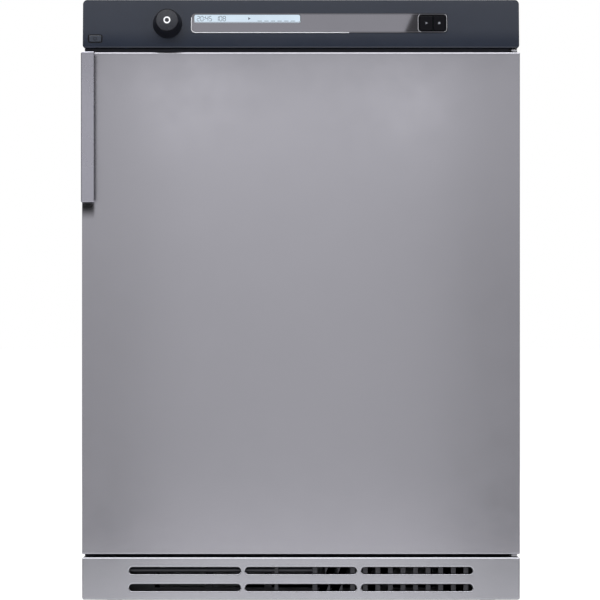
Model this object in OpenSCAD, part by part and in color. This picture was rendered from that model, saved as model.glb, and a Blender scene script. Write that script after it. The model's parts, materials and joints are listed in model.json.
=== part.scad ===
// Vented tumble dryer, free standing, 60 cm class, with its door hinged on the right.
// Sizes are in millimetres. The origin is at floor level under the centre of the overall box.
// +Z is up, the front faces -Y and +X is to the right of someone who faces the front.

/* [Cabinet] */
// Width across the door and the plinth
body_w = 595; // [590:1:610]
// Height from the floor to the top of the worktop
body_h = 850; // [845:1:880]
// Depth from the door's face to the worktop's rear edge
body_d = 585; // [575:1:610]
// Distance from the edge of the door in to the cabinet's side
side_inset = 1.7; // [1.5:0.1:4]
// Thickness of the cabinet's sheet steel
sheet = 1; // [0.8:0.1:1.4]
// Thickness of the front frame's sheet steel
frame_t = 1.2; // [0.8:0.1:1.6]
// Width of the flanges on the sheet steel panels
flange_w = 14; // [12:1:15]
// Height of the worktop's edge
top_h = 28; // [24:1:32]
// Thickness of the worktop's skin
top_skin = 1.2; // [0.8:0.1:2]
// Distance from the edge of the door in to the worktop's side
top_inset = 1; // [0.5:0.5:1.5]

/* [Base and feet] */
// Height of a foot that is screwed right in, from the floor to the base pan
foot_h = 33.9; // [30:0.1:42]
// Height of the base pan and of the plinth in front of it
plinth_h = 58.2; // [54:0.1:62]
// Wall thickness of the base pan
base_wall = 3; // [2.5:0.5:4]
// Radius of a foot's pad
foot_r = 22; // [18:1:25]
// Thickness of a foot's pad
foot_pad = 12; // [8:1:15]
// Radius of a foot's threaded stem
stem_r = 5; // [4:0.5:6]
// How far the stem reaches up inside the base pan
stem_in = 37; // [32:1:42]
// Distance from the cabinet's side in to a foot's axis
foot_side = 39; // [37:1:44]
// Distance from the front and the rear of the base pan in to a foot's axis
foot_end = 38; // [34:1:44]

/* [Plinth] */
// Length of a slot in the plinth
slot_len = 151.5; // [140:0.5:156]
// Height of a slot
slot_h = 9.5; // [7:0.5:11]
// Width of the bridge between two slots in a row
slot_bridge = 6.2; // [5:0.1:8]
// Distance between the two rows of slots
slot_rows = 23.1; // [18:0.1:25]
// Height of the lower row's centre above the plinth's lower edge
slot_low = 16.6; // [14:0.1:19]
// Depth of the rolled lip round a slot
slot_lip = 2.5; // [1.5:0.5:3.5]
// Distance between the ribs of the air grille
rib_pitch = 17.1; // [14:0.1:20]
// Width of a rib
rib_w = 6.5; // [5:0.5:8]

/* [Door] */
// Thickness of the door
door_t = 38; // [34:1:44]
// Gap between the door's rear and the front frame
door_gap = 4; // [3.5:0.5:5]
// Gap above the door
gap_top = 5.7; // [5.5:0.1:8]
// Gap below the door
gap_low = 4; // [3.9:0.1:6]
// Radius of the door's front edges
door_edge = 2; // [1.5:0.5:3.5]
// Thickness of the door liner's rear plate
liner_t = 3; // [2.5:0.5:3.5]
// Gap between the mouth of the front frame and the door's round plug
plug_gap = 12; // [10:1:15]
// How far the plug stands out from the liner's plate
plug_d = 22; // [20:1:24]
// Distance from the door's right edge in to the hinge axis
hinge_in = 9; // [8:0.5:10]
// Distance from the door's face back to the hinge axis
hinge_back = 16; // [15:0.5:18]
// Radius of a hinge pin
pin_r = 3; // [2.5:0.5:3.5]
// Length of a hinge pin inside the door
pin_len = 20; // [14:1:24]

/* [Handle] */
// Length of the handle
handle_len = 203.5; // [150:0.5:260]
// Width of the handle
handle_w = 18; // [16:0.5:22]
// How far the handle stands out from the door
handle_proud = 28; // [24:1:34]
// Wall thickness of the handle
handle_wall = 3; // [2:0.5:4]

/* [Control panel] */
// Height of the control panel
panel_h = 66.4; // [62:0.1:70]
// Angle by which the panel leans back
panel_lean = 8; // [4:1:10]
// Distance from the edge of the door in to the panel's side
panel_inset = 1; // [0.5:0.5:1.5]
// Distance from the door's face back to the panel's lower edge
panel_back = 1; // [0:0.5:3]
// Wall thickness of the panel
panel_wall = 2.5; // [2:0.5:3]
// Distance from the panel's face in to the control board
board_in = 15; // [14:0.5:17]
// Thickness of the control board
board_t = 1.6; // [1:0.2:2]

/* [Display strip] */
// Distance from the panel's left side to the trim's left end
trim_left = 147.6; // [145:0.1:170]
// Distance from the panel's right side to the trim's right end
trim_right = 97.6; // [90:0.1:112]
// Height of the trim
trim_h = 26.3; // [26:0.1:29]
// Height of the trim's centre above the panel's lower edge, along the lean
trim_v = 32.1; // [31:0.1:34]
// How far the trim stands out from the panel
trim_proud = 1; // [0.5:0.1:1.5]
// Depth of the panel's recess for the trim
trim_sunk = 1.5; // [1:0.1:1.6]
// Length of the display window
lcd_w = 145; // [120:1:160]
// Height of the display window
lcd_h = 11; // [9:0.5:12]
// Distance of the window from the trim's left end
lcd_side = 3.4; // [3:0.1:8]
// Distance of the window from the trim's upper edge
lcd_top = 1.4; // [1.2:0.1:4]
// Width of the black block with the two buttons
block_w = 37.4; // [32:0.1:40]
// Height of the block
block_h = 23.3; // [20:0.1:23.5]
// Distance of the block from the trim's right end
block_side = 1.5; // [1.5:0.1:3]
// Distance of the split between the two buttons to the right of the block's centre
key_shift = 0.9; // [0:0.1:3]
// Travel of the start and stop buttons
key_travel = 1.2; // [0.8:0.1:1.5]

/* [Selector and power button] */
// Radius of the selector knob at the panel
knob_r = 20; // [17:0.5:22]
// Radius of the knob's face
knob_face_r = 15.5; // [13:0.1:16.5]
// Length of the knob
knob_len = 26; // [17:0.5:28]
// Distance from the panel's left side to the knob's axis
knob_side = 115.1; // [106:0.1:120]
// Height of the knob's axis above the panel's lower edge, along the lean
knob_v = 31.3; // [29:0.1:33]
// Width of the power button
power_w = 17; // [16:0.1:24]
// Height of the power button
power_h = 8.8; // [8.5:0.1:12]
// Distance from the panel's left side to the power button's centre
power_side = 16.9; // [16.5:0.1:36]
// Height of the power button's centre above the panel's lower edge, along the lean
power_v = 10.7; // [8.5:0.1:12]
// Travel of the power button
power_travel = 3; // [2:0.1:3.5]

/* [Drum] */
// Least gap between the drum and the cabinet's side
drum_side_gap = 9.8; // [7:0.1:14]
// Least gap between the drum and the worktop
drum_top_gap = 36; // [34:1:50]
// Height of the drive space between the cabinet's floor level and the drum
drive_h = 180; // [176:1:186]
// Difference between the drum's radius and that of its neck
neck_step = 40; // [34:1:44]
// Length of the neck that runs on the rollers
neck_len = 32; // [28:1:36]
// Difference between the neck's radius and that of the door mouth
mouth_step = 45; // [40:1:50]
// Thickness of the drum's sheet
drum_t = 1; // [0.6:0.1:1.2]
// Gap between the front bulkhead and the drum
drum_front_gap = 4; // [3:0.5:6]
// Gap between the drum and the rear panel
drum_rear_gap = 9.7; // [8:0.1:12]
// Depth of the front bulkhead
bulk_d = 26; // [24:1:28]
// Wall thickness of the front bulkhead
bulk_wall = 3; // [2.5:0.5:3.5]
// Number of lifters
lifters = 3; // [2:1:4]
// Height of a lifter
lifter_h = 55; // [40:1:65]
// Width of a lifter at its foot
lifter_w = 76; // [60:1:90]
// Radius of the drum's shaft
shaft_r = 10; // [8:0.5:12]
// Radius of the drum's rear holes
vent_r = 5; // [3:0.5:5.5]
// Radius of a support roller
roller_r = 22; // [20:0.5:24]
// Width of a support roller
roller_w = 20; // [16:0.5:22]
// Angle of the rollers from straight below the drum's axis
roller_angle = 35; // [30:1:40]
// Radius of a roller's axle
axle_r = 5; // [4:0.5:6]

/* [Drive and fan] */
// Radius of the motor
motor_r = 62; // [56:0.5:64]
// Length of the motor's shell
motor_len = 100; // [80:1:104]
// Gap between the front air duct and the fan housing
fan_gap = 28.8; // [26:0.1:32]
// Gap between the motor and the drum
motor_gap = 33.8; // [30:0.1:38]
// Angle of the motor's axis from straight below the drum's axis
motor_angle = 23.2; // [22:0.1:25]
// Radius of the motor's shaft and of its belt grooves
rotor_r = 6; // [5:0.5:7]
// Width of the belt
belt_w = 10; // [7:0.5:12]
// Thickness of the belt
belt_t = 2; // [1.5:0.1:2.4]
// Radius of the idler pulley
idler_r = 20; // [17:0.5:22]
// Radius of the fan
fan_r = 65; // [55:1:66]
// Width of the fan
fan_w = 46; // [40:1:50]
// Number of the fan's blades
fan_blades = 24; // [16:1:30]
// Depth of the fan housing
scroll_d = 60; // [56:1:62]
// Radius at which the fan housing's spiral begins
scroll_r = 72; // [70:0.5:74]
// How much the spiral's radius grows to the outlet
scroll_grow = 16; // [12:1:18]

/* [Air path] */
// Outer radius of the exhaust duct and its spigot
duct_r = 50; // [45:0.5:51]
// Wall thickness of the ducts
duct_wall = 2; // [1.5:0.1:2.5]
// Distance of the exhaust duct to the left of the machine's centre
duct_x = 140; // [135:1:150]
// How far the spigot stands out behind the worktop
spigot_len = 35; // [25:1:50]
// Depth of the rear duct cover
cover_d = 36; // [30:1:40]
// Radius of the cover's round part
cover_r = 225; // [215:1:235]
// Distance from the plug's side in to the lint filter
filter_side = 88; // [86:1:98]
// Distance from the plug's lowest point up to the lint filter
filter_low = 40; // [36:1:60]
// Thickness of the lint filter
filter_t = 10; // [8:0.5:11]

/* [Fits] */
// Radial clearance of a shaft or pin that turns in its bore
run_fit = 0.05; // [0.03:0.01:0.08]
// Clearance between pieces that slide or sit loosely
slide_fit = 0.3; // [0.2:0.05:0.4]
// Clearance of a screw in its hole
screw_fit = 0.3; // [0.2:0.1:0.5]

/* [Hidden] */
$fn = 72;
eps = 0.01;

// Planes from the front to the rear
total_d = handle_proud + body_d + spigot_len;
y_door = handle_proud - total_d / 2;
y_rear = y_door + body_d;
y_liner = y_door + door_t;
y_frame = y_liner + door_gap;
y_inner = y_frame + frame_t;
cover_edge = 2;
y_back = y_rear - cover_edge - cover_d;
y_back_in = y_back - sheet;
y_bulk = y_inner + bulk_d;
drum_y0 = y_bulk + drum_front_gap;
drum_y1 = y_back_in - drum_rear_gap;
y_plinth = y_door + 2;

// Planes from the middle to the sides
x_side = body_w / 2 - side_inset;
x_in = x_side - sheet;

// Levels from the floor up
z_base = foot_h;
z_floor = z_base + base_wall;
z_plinth = z_base + plinth_h;
z_door0 = z_plinth + gap_low;
z_panel = body_h - panel_h;
z_door1 = z_panel - gap_top;
z_top = body_h - top_h;

// The drum and what goes round it
drum_r = min(x_in - drum_side_gap, (z_top - z_base - drive_h - drum_top_gap) / 2);
drum_z = z_base + drive_h + drum_r;
neck_r = drum_r - neck_step;
mouth_r = neck_r - mouth_step;
plug_r = mouth_r - plug_gap;
bulk_r = drum_r - 5;
felt_r = neck_r - drum_t - 6;
roller_dist = neck_r + slide_fit + roller_r;
roller_x = roller_dist * sin(roller_angle);
roller_z = drum_z - roller_dist * cos(roller_angle);
hub_r = 60;
bearing_len = 19;
bearing_flange = 7;

// The drive
motor_dist = drum_r + motor_gap + motor_r;
motor_x = motor_dist * sin(motor_angle);
motor_z = drum_z - motor_dist * cos(motor_angle);
boss_len = 12;
boss_r = 20;
scroll_y0 = y_bulk + fan_gap;
scroll_y1 = scroll_y0 + scroll_d;
motor_y0 = scroll_y1 + boss_len + 10;
motor_y1 = motor_y0 + motor_len;
belt_y = motor_y1 + 36;
idler_x = motor_x - 55;
idler_z = motor_z - 1;
arm_x = idler_x - 50;
arm_z = idler_z - 15;
arm_t = 3;
belt_clear = 0.4;
grip_r = 12;

// The exhaust
outlet_x = motor_x - scroll_r - 23;
outlet_top = 25;
duct_z = motor_z - (scroll_r + scroll_grow + outlet_top) / 2;
tube_y0 = scroll_y1;
chamber_x0 = -duct_x - duct_r - 5;
chamber_x1 = -duct_x + duct_r + 5;

// The rear duct's chute for the heater
chute_x0 = 55;
chute_x1 = 205;
chute_z0 = 105;
band = 12;

// The door
hinge_x = body_w / 2 - hinge_in;
hinge_y = y_door + hinge_back;
liner_y0 = y_liner - liner_t;
plug_y = y_liner + plug_d;
latch_in = 25.5;
latch_x = latch_in - body_w / 2;
latch_z = z_door1 - handle_len / 2;
filter_w = 2 * (plug_r - filter_side);
filter_z = drum_z - plug_r + filter_low;
filter_h = drum_z + 2 - filter_z;
filter_y0 = plug_y + slide_fit;
rail_wall = 3;
window_in = 12;

// The panel's own axes start at the lower end of its flat face
panel_edge = 2;
panel_round = 4;
panel_corner = 6.5;
lcd_round = 3.2;
block_round = 4;
panel_y = y_door + panel_back;
panel_z = z_panel + panel_edge * (1 + sin(panel_lean));
panel_half = body_w / 2 - panel_inset;
trim_w = 2 * panel_half - trim_left - trim_right;
trim_x = (trim_left - trim_right) / 2;
knob_x = panel_half - knob_side;
power_x = panel_half - power_side;
lcd_x = trim_x - trim_w / 2 + lcd_side + lcd_w / 2;
lcd_v = trim_v + trim_h / 2 - lcd_top - lcd_h / 2;
block_x = trim_x + trim_w / 2 - block_side - block_w / 2;
block_v = trim_v;
bezel_wall = 0.9;
key_split = 0.6;
key_half = block_w / 2 - 2 * slide_fit - bezel_wall;
key_h = block_h - 2 * slide_fit - 2 * bezel_wall - 2 * slide_fit;
knob_stem_r = 3;
post_r = 3;

// Fasteners: screws on the rear, and one lock nut on each foot
screw_r = 1.8;
screw_head = 4.2;
screw_len = 8;
nut_h = 6;
foot_x = x_side - foot_side;
foot_y0 = y_frame + foot_end;
foot_y1 = y_back - foot_end;
rear_screw_z = [z_base + 25, z_base + 265, z_base + 525, z_top - 22];
cover_ring = cover_r + band / 2;
cover_screws = concat(
  [for (a = [10, 55, 100, 145, 190, 235]) [cover_ring * cos(a), drum_z + cover_ring * sin(a)]],
  [for (z = [160, 280]) [chute_x1 + band / 2, z]],
  [[chute_x0 - band / 2, 180]],
  [for (x = [chute_x0 + 35, chute_x1 - 35]) [x, chute_z0 - band / 2]]);
panel_screws = [for (s = [-1, 1], z = rear_screw_z) [s * (x_in - flange_w / 2), z]];

// Helpers that place an outline or a round bar along an axis

// Extrudes an outline of the X-Z plane from one Y to another
module along_y(y0, y1) {
  translate([0, y1, 0]) rotate([90, 0, 0]) linear_extrude(y1 - y0) children();
}

// Extrudes an outline of the Y-Z plane from one X to another
module along_x(x0, x1) {
  translate([x0, 0, 0]) rotate([90, 0, 90]) linear_extrude(x1 - x0) children();
}

// A bar along Y at a place in the X-Z plane
module bar_y(x, z, r, y0, y1) {
  translate([x, y1, z]) rotate([90, 0, 0]) cylinder(r = r, h = y1 - y0);
}

// A tube along Y at a place in the X-Z plane
module tube_y(x, z, ro, ri, y0, y1) {
  difference() {
    bar_y(x, z, ro, y0, y1);
    bar_y(x, z, ri, y0 - 1, y1 + 1);
  }
}

// A box from one corner to the other
module block(low, high) {
  translate(low) cube(high - low);
}

// Points of an arc
function arc(cx, cy, r, a0, a1, n = 8) =
  [for (i = [0:n]) let (a = a0 + (a1 - a0) * i / n) [cx + r * cos(a), cy + r * sin(a)]];

// A rectangle with rounded corners, centred on a point
module rounded(w, h, r, cx = 0, cy = 0, n = 8) {
  polygon(concat(
    arc(cx + w / 2 - r, cy + h / 2 - r, r, 0, 90, n),
    arc(cx - w / 2 + r, cy + h / 2 - r, r, 90, 180, n),
    arc(cx - w / 2 + r, cy - h / 2 + r, r, 180, 270, n),
    arc(cx + w / 2 - r, cy - h / 2 + r, r, 270, 360, n)));
}

// Shapes in the panel's own axes: X to the right, Y into the machine, Z up the lean
module on_panel(x = 0, v = 0) {
  translate([0, panel_y, panel_z]) rotate([-panel_lean, 0, 0]) translate([x, 0, v]) children();
}

// Holes for the screws at a list of places in the rear sheet
module rear_holes(places) {
  for (p = places)
    bar_y(p[0], p[1], screw_r + screw_fit, y_back_in - sheet - 1, y_back + sheet + 1);
}

// Cabinet: base, sides, rear, front and top

module base_pan() {
  color("dimgray") difference() {
    union() {
      block([-x_in, y_frame, z_base], [x_in, y_back_in, z_floor]);
      difference() {
        block([-x_in, y_frame, z_base], [x_in, y_back_in, z_plinth]);
        block([-x_in + base_wall, y_frame + base_wall, z_base - 1],
          [x_in - base_wall, y_back_in - base_wall, z_plinth + 1]);
      }
      for (x = [-foot_x, foot_x], y = [foot_y0, foot_y1])
        translate([x, y, z_base]) cylinder(r = stem_r + 8, h = stem_in);
      for (x = [motor_x - 50, motor_x + 50], y = [motor_y0 + 5, motor_y1 - 5])
        translate([x, y, z_base]) cylinder(r = 8, h = bracket_z - z_base);
      saddle();
    }
    for (x = [-foot_x, foot_x], y = [foot_y0, foot_y1])
      translate([x, y, z_base - 1]) cylinder(r = stem_r + run_fit, h = stem_in + 2);
    bar_y(-duct_x, duct_z, duct_r + slide_fit, y_back_in - 2 * base_wall, y_back_in + 1);
    intake_slots();
    for (p = panel_screws)
      bar_y(p[0], p[1], screw_r + screw_fit, y_back_in - base_wall - 1, y_back_in + 1);
  }
}

// Ribs under the exhaust duct
module saddle() {
  for (y = [scroll_y1 + 78, y_back_in - 150])
    difference() {
      block([-duct_x - 36, y, z_base], [-duct_x + 36, y + 4, duct_z - 25]);
      bar_y(-duct_x, duct_z, duct_r + slide_fit, y - 1, y + 5);
    }
}

// Openings behind the plinth that let room air into the base
module intake_slots() {
  for (x = [-200, -120, -40, 40, 120])
    block([x, y_frame - 1, z_base + 14], [x + 70, y_frame + base_wall + 1, z_plinth - 12]);
}

bracket_z = motor_z - motor_r - 14;

module side_panel(s) {
  x_low = s > 0 ? x_in : -x_side;
  flange_x = s > 0 ? x_in - flange_w : -x_in;
  difference() {
    union() {
      block([x_low, y_frame, z_base], [x_low + sheet, y_back_in, z_top]);
      block([flange_x, y_inner + flange_w + 2, z_top - sheet],
        [flange_x + flange_w, y_back_in, z_top]);
      block([flange_x, y_back_in - sheet, z_plinth], [flange_x + flange_w, y_back_in, z_top]);
    }
    rear_holes(panel_screws);
  }
}

module side_panel_left() {
  color("silver") side_panel(-1);
}

module side_panel_right() {
  color("silver") side_panel(1);
}

module rear_panel() {
  color("lightgray") difference() {
    block([-x_side, y_back_in, z_base], [x_side, y_back, z_top]);
    bar_y(-duct_x, duct_z, duct_r + slide_fit, y_back_in - 1, y_back + 1);
    bar_y(0, drum_z, shaft_r + 6 + slide_fit, y_back_in - 1, y_back + 1);
    for (i = [0:9])
      bar_y(150 * cos(36 * i), drum_z + 150 * sin(36 * i), 24, y_back_in - 1, y_back + 1);
    for (i = [0:7])
      bar_y(88 * cos(45 * i), drum_z + 88 * sin(45 * i), 18, y_back_in - 1, y_back + 1);
    block([chute_x0 + 15, y_back_in - 1, chute_z0 + 12], [chute_x1 - 15, y_back + 1, chute_z0 + 70]);
    rear_holes(panel_screws);
    rear_holes(cover_screws);
  }
}

module front_frame() {
  frame_low = z_plinth;
  color("gray") difference() {
    block([-x_in, y_frame, frame_low], [x_in, y_inner + flange_w, z_top]);
    block([-x_in + frame_t, y_inner, frame_low + frame_t],
      [x_in - frame_t, y_inner + flange_w + 1, z_top - frame_t]);
    bar_y(0, drum_z, mouth_r, y_frame - 1, y_inner + 1);
    block([latch_x - 5, y_frame - 1, latch_z - 10], [latch_x + 5, y_inner + 1, latch_z + 10]);
    block([-x_in + frame_t, y_frame - 1, panel_z + loom_v - 14],
      [-x_in + frame_t + 8, y_inner + 1, panel_z + loom_v + 6]);
  }
}

// The moulding behind the front frame: mouth ring, rear wall, outer wall and seal flange
module front_bulkhead() {
  color("dimgray") difference() {
    union() {
      tube_y(0, drum_z, mouth_r + bulk_wall, mouth_r, y_inner, y_bulk);
      tube_y(0, drum_z, bulk_r, mouth_r, y_bulk - bulk_wall, y_bulk);
      tube_y(0, drum_z, bulk_r, bulk_r - bulk_wall, y_inner, y_bulk);
      tube_y(0, drum_z, felt_r, felt_r - bulk_wall, y_bulk - eps, y_bulk + felt_len);
      difference() {
        block([-throat, y_inner, throat_z], [throat, y_bulk, drum_z - bulk_r + 12]);
        block([-throat + bulk_wall, y_inner + bulk_wall, throat_z - 1],
          [throat - bulk_wall, y_bulk - bulk_wall, drum_z - bulk_r + 13]);
        bar_y(0, drum_z, bulk_r - 1, y_inner - 1, y_bulk + 1);
      }
      for (s = [-1, 1])
        bar_y(s * roller_x, roller_z, axle_r + 7, y_inner, roller_y0 - slide_fit);
    }
    block([-throat + bulk_wall, y_inner + bulk_wall, throat_z - 1],
      [throat - bulk_wall, y_bulk - bulk_wall, drum_z - bulk_r + 14]);
    block([-throat, y_inner + 4, drum_z - mouth_r - bulk_wall - 20],
      [throat, y_bulk - bulk_wall - 2, drum_z - mouth_r + 20]);
    for (s = [-1, 1])
      bar_y(s * roller_x, roller_z, axle_r + run_fit, y_inner + 4, roller_y0 + 1);
    lamp_place() rounded_slot(lamp_w - 6, lamp_h - 6);
  }
}

throat = 62;
throat_z = drum_z - bulk_r - 8;
felt_len = 12;
roller_y0 = drum_y0 + 4.5;
roller_y1 = roller_y0 + roller_w;
lamp_w = 44;
lamp_h = 22;
lamp_angle = 60;
lamp_r = (mouth_r + bulk_wall + felt_r - bulk_wall) / 2;

// The lamp's place on the bulkhead's rear wall, turned to the ring
module lamp_place() {
  translate([lamp_r * cos(lamp_angle), y_bulk, drum_z + lamp_r * sin(lamp_angle)])
    rotate([0, 90 - lamp_angle, 0]) children();
}

// A long hole along Y with square ends, centred
module rounded_slot(w, h) {
  translate([-w / 2, -10, -h / 2]) cube([w, 20, h]);
}

module worktop() {
  half = body_w / 2 - top_inset;
  lip = 14;
  y0 = y_frame + slide_fit;
  color("silver") difference() {
    block([-half, y0, z_top], [half, y_rear, body_h]);
    block([-half + top_skin, y0 + top_skin, z_top + top_skin],
      [half - top_skin, y_rear - top_skin, body_h - top_skin]);
    block([-half + lip, y0 + lip, z_top - 1], [half - lip, y_rear - lip, z_top + top_skin + 1]);
  }
}

// Control panel with what it carries

lean_in = [cos(panel_lean), -sin(panel_lean)];
lean_up = [sin(panel_lean), cos(panel_lean)];
panel_f0 = [panel_y, panel_z];
panel_c1 = panel_f0 + panel_edge * lean_in;
face_len = (body_h - panel_round + panel_round * sin(panel_lean) - panel_f0[1]) / cos(panel_lean);
panel_c2 = panel_f0 + face_len * lean_up + panel_round * lean_in;
cave_0 = panel_f0 + panel_wall * lean_in;
cave_low = cave_0 + (z_panel + panel_wall - cave_0[1]) / cos(panel_lean) * lean_up;
cave_top = cave_0 + (body_h - panel_wall - cave_0[1]) / cos(panel_lean) * lean_up;

module control_panel() {
  color([0.16, 0.17, 0.2]) union() {
    difference() {
      intersection() {
        along_x(-panel_half, panel_half) polygon(concat(
          arc(panel_c1[0], panel_c1[1], panel_edge, 270, 180 - panel_lean),
          arc(panel_c2[0], panel_c2[1], panel_round, 180 - panel_lean, 90),
          [[y_frame, body_h], [y_frame, z_panel]]));
        along_y(y_door - 10, y_frame)
          intersection() {
            rounded(2 * panel_half, panel_h, panel_round, 0, z_panel + panel_h / 2);
            rounded(2 * panel_half, 2 * panel_h, panel_corner, 0, z_panel);
          }
      }
      along_x(-panel_half + panel_wall, panel_half - panel_wall) polygon([
        cave_low, cave_top, [y_frame + 1, body_h - panel_wall], [y_frame + 1, z_panel + panel_wall]]);
      on_panel(trim_x, trim_v) along_y(-1, trim_sunk)
        rounded(trim_w + 2 * slide_fit, trim_h + 2 * slide_fit, 5.5 + slide_fit);
      on_panel(lcd_x, lcd_v) along_y(-1, panel_wall + 1)
        rounded(lcd_w + 2 * slide_fit, lcd_h + 2 * slide_fit, lcd_round);
      on_panel(block_x, block_v) along_y(-1, panel_wall + 1) rounded(block_w, block_h, block_round);
      on_panel(-knob_x, knob_v) bar_y(0, 0, knob_stem_r + 1, -1, panel_wall + 1);
      on_panel(-power_x, power_v) along_y(-2, panel_wall + 2)
        rounded(power_w + 2 * power_groove, power_h + 2 * power_groove, 3);
    }
    for (x = post_x, v = [post_v0, post_v1])
      on_panel(x, v) bar_y(0, 0, post_r, panel_wall - eps, board_in);
    power_guide();
  }
}

power_groove = 1.3;
post_x = [34.5 - panel_half, lcd_x - 27, trim_x + 36, block_x + block_w / 2 + 9.5];
post_v0 = 8;
post_v1 = panel_h - 10;

// A sleeve behind the panel that leads the power button, wider in front so that a groove shows
module power_guide() {
  on_panel(-power_x, power_v) difference() {
    along_y(panel_wall - eps, panel_wall + 4)
      rounded(power_w + 2 * power_groove + 2, power_h + 2 * power_groove + 2, 4);
    along_y(panel_wall - 1, panel_wall + 5)
      rounded(power_w + 2 * slide_fit, power_h + 2 * slide_fit, 2 + slide_fit);
  }
}

module display_trim() {
  color([0.72, 0.72, 0.74]) on_panel() difference() {
    translate([trim_x, 0, trim_v]) along_y(-trim_proud, trim_sunk) rounded(trim_w, trim_h, 5.5);
    translate([lcd_x, 0, lcd_v]) along_y(-trim_proud - 1, trim_sunk + 1)
      rounded(lcd_w + 2 * slide_fit, lcd_h + 2 * slide_fit, lcd_round);
    translate([block_x, 0, block_v]) along_y(-trim_proud - 1, trim_sunk + 1)
      rounded(block_w, block_h, block_round);
  }
}

module display_window() {
  color([0.77, 0.85, 0.92]) on_panel(lcd_x, lcd_v)
    along_y(-trim_proud + 0.2, panel_wall) rounded(lcd_w, lcd_h, lcd_round);
}

module button_bezel() {
  color("black") on_panel(block_x, block_v) difference() {
    along_y(-trim_proud, panel_wall + 3)
      rounded(block_w - 2 * slide_fit, block_h - 2 * slide_fit, block_round - slide_fit);
    along_y(-trim_proud - 1, panel_wall + 4)
      rounded(2 * (key_half + slide_fit), key_h + 2 * slide_fit, 2);
  }
}

// Middle and width of the left (-1) and the right (1) button, measured from the block's centre
function key_x(s) = s * (key_half + key_split / 2) / 2 + key_shift / 2;
function key_w(s) = key_half - key_split / 2 - s * key_shift;

module key(s) {
  color([0.05, 0.05, 0.07]) on_panel(block_x, block_v) union() {
    along_y(-trim_proud - 0.3, panel_wall + 3) rounded(key_w(s), key_h, 1.5, key_x(s));
    bar_y(key_x(s), 0, 3, panel_wall + 3 - eps, switch_in - key_travel - slide_fit);
  }
}

switch_in = board_in - 4;

module start_button() {
  key(-1);
}

module stop_button() {
  key(1);
}

module power_button() {
  color([0.22, 0.23, 0.27]) on_panel(-power_x, power_v) union() {
    along_y(-0.8, panel_wall + 3) rounded(power_w, power_h, 2);
    bar_y(0, 0, 3, panel_wall + 3 - eps, power_switch - power_travel - slide_fit);
  }
}

power_switch = board_in - 4.5;

module selector_knob() {
  rim = 1.5;
  slope = (knob_r - knob_face_r) / knob_len;
  color([0.2, 0.2, 0.23]) on_panel(-knob_x, knob_v) rotate([90, 0, 0]) union() {
    rotate_extrude() polygon([[0, slide_fit + 6], [knob_r - 3, slide_fit + 6], [knob_r - 3, slide_fit],
      [knob_r, slide_fit], [knob_face_r + rim * slope, knob_len - rim], [knob_face_r - rim, knob_len],
      [0, knob_len]]);
    translate([0, 0, -board_in + 1]) cylinder(r = knob_stem_r, h = board_in + 6);
  }
}

module selector_encoder() {
  color("darkslategray") on_panel(-knob_x, knob_v) difference() {
    block([-7, board_in - 8, -7], [7, board_in, 7]);
    bar_y(0, 0, knob_stem_r + run_fit, board_in - 9, board_in - 0.5);
  }
}

module control_board() {
  color("darkgreen") on_panel() difference() {
    union() {
      block([board_x0, board_in, 4], [board_x1, board_in + board_t, panel_h - 7.5]);
      translate([lcd_x, 0, lcd_v])
        block([-lcd_w / 2 - 2, panel_wall + 0.3, -lcd_h / 2 - 2],
          [lcd_w / 2 + 2, board_in + eps, lcd_h / 2 + 2]);
      for (s = [-1, 1])
        translate([block_x + key_x(s), 0, block_v])
          block([-3, switch_in, -3], [3, board_in + eps, 3]);
      translate([-power_x, 0, power_v])
        block([-7, power_switch, -4], [7, board_in + eps, 4]);
      for (x = [lcd_x + 13, lcd_x + 53, lcd_x + 93])
        block([x, board_in + board_t - eps, 14], [x + 22, board_in + 10, 40]);
      block([board_x1 - 99.5, board_in + board_t - eps, 12], [board_x1 - 59.5, board_in + 9, 46]);
      block([board_x0, board_in + board_t - eps, loom_v - 6], [board_x0 + 12, board_in + 10, loom_v + 6]);
    }
  }
}

board_x0 = -panel_half + panel_wall + 2;
loom_v = 26;
board_x1 = block_x + block_w / 2 + 14;

// Plinth with its grille

// The six slot centres as [x, z]
slot_places = [for (i = [-1:1], k = [0, 1])
  [i * (slot_len + slot_bridge), z_base + slot_low + k * slot_rows]];

module plinth_panel() {
  half = body_w / 2;
  color("silver") difference() {
    union() {
      difference() {
        intersection() {
          along_x(-half, half) polygon(concat(
            arc(y_plinth + door_edge, z_plinth - door_edge, door_edge, 180, 90),
            [[y_frame, z_plinth], [y_frame, z_base]],
            arc(y_plinth + 1.5, z_base + 1.5, 1.5, 270, 180)));
          translate([0, 0, z_base - 1]) linear_extrude(plinth_h + 2) polygon(concat(
            [[half, y_frame], [-half, y_frame]],
            arc(-half + door_edge, y_plinth + door_edge, door_edge, 180, 270),
            arc(half - door_edge, y_plinth + door_edge, door_edge, 270, 360)));
        }
        block([-half + sheet, y_plinth + sheet, z_base + sheet],
          [half - sheet, y_frame + 1, z_plinth - sheet]);
      }
      for (p = slot_places)
        along_y(y_plinth + sheet - eps, y_plinth + slot_lip)
          rounded(slot_len + 2 * sheet, slot_h + 2 * sheet, slot_h / 2 + sheet, p[0], p[1]);
    }
    for (p = slot_places)
      along_y(y_plinth - 1, y_plinth + slot_lip + 1) rounded(slot_len, slot_h, slot_h / 2, p[0], p[1]);
  }
}

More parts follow.
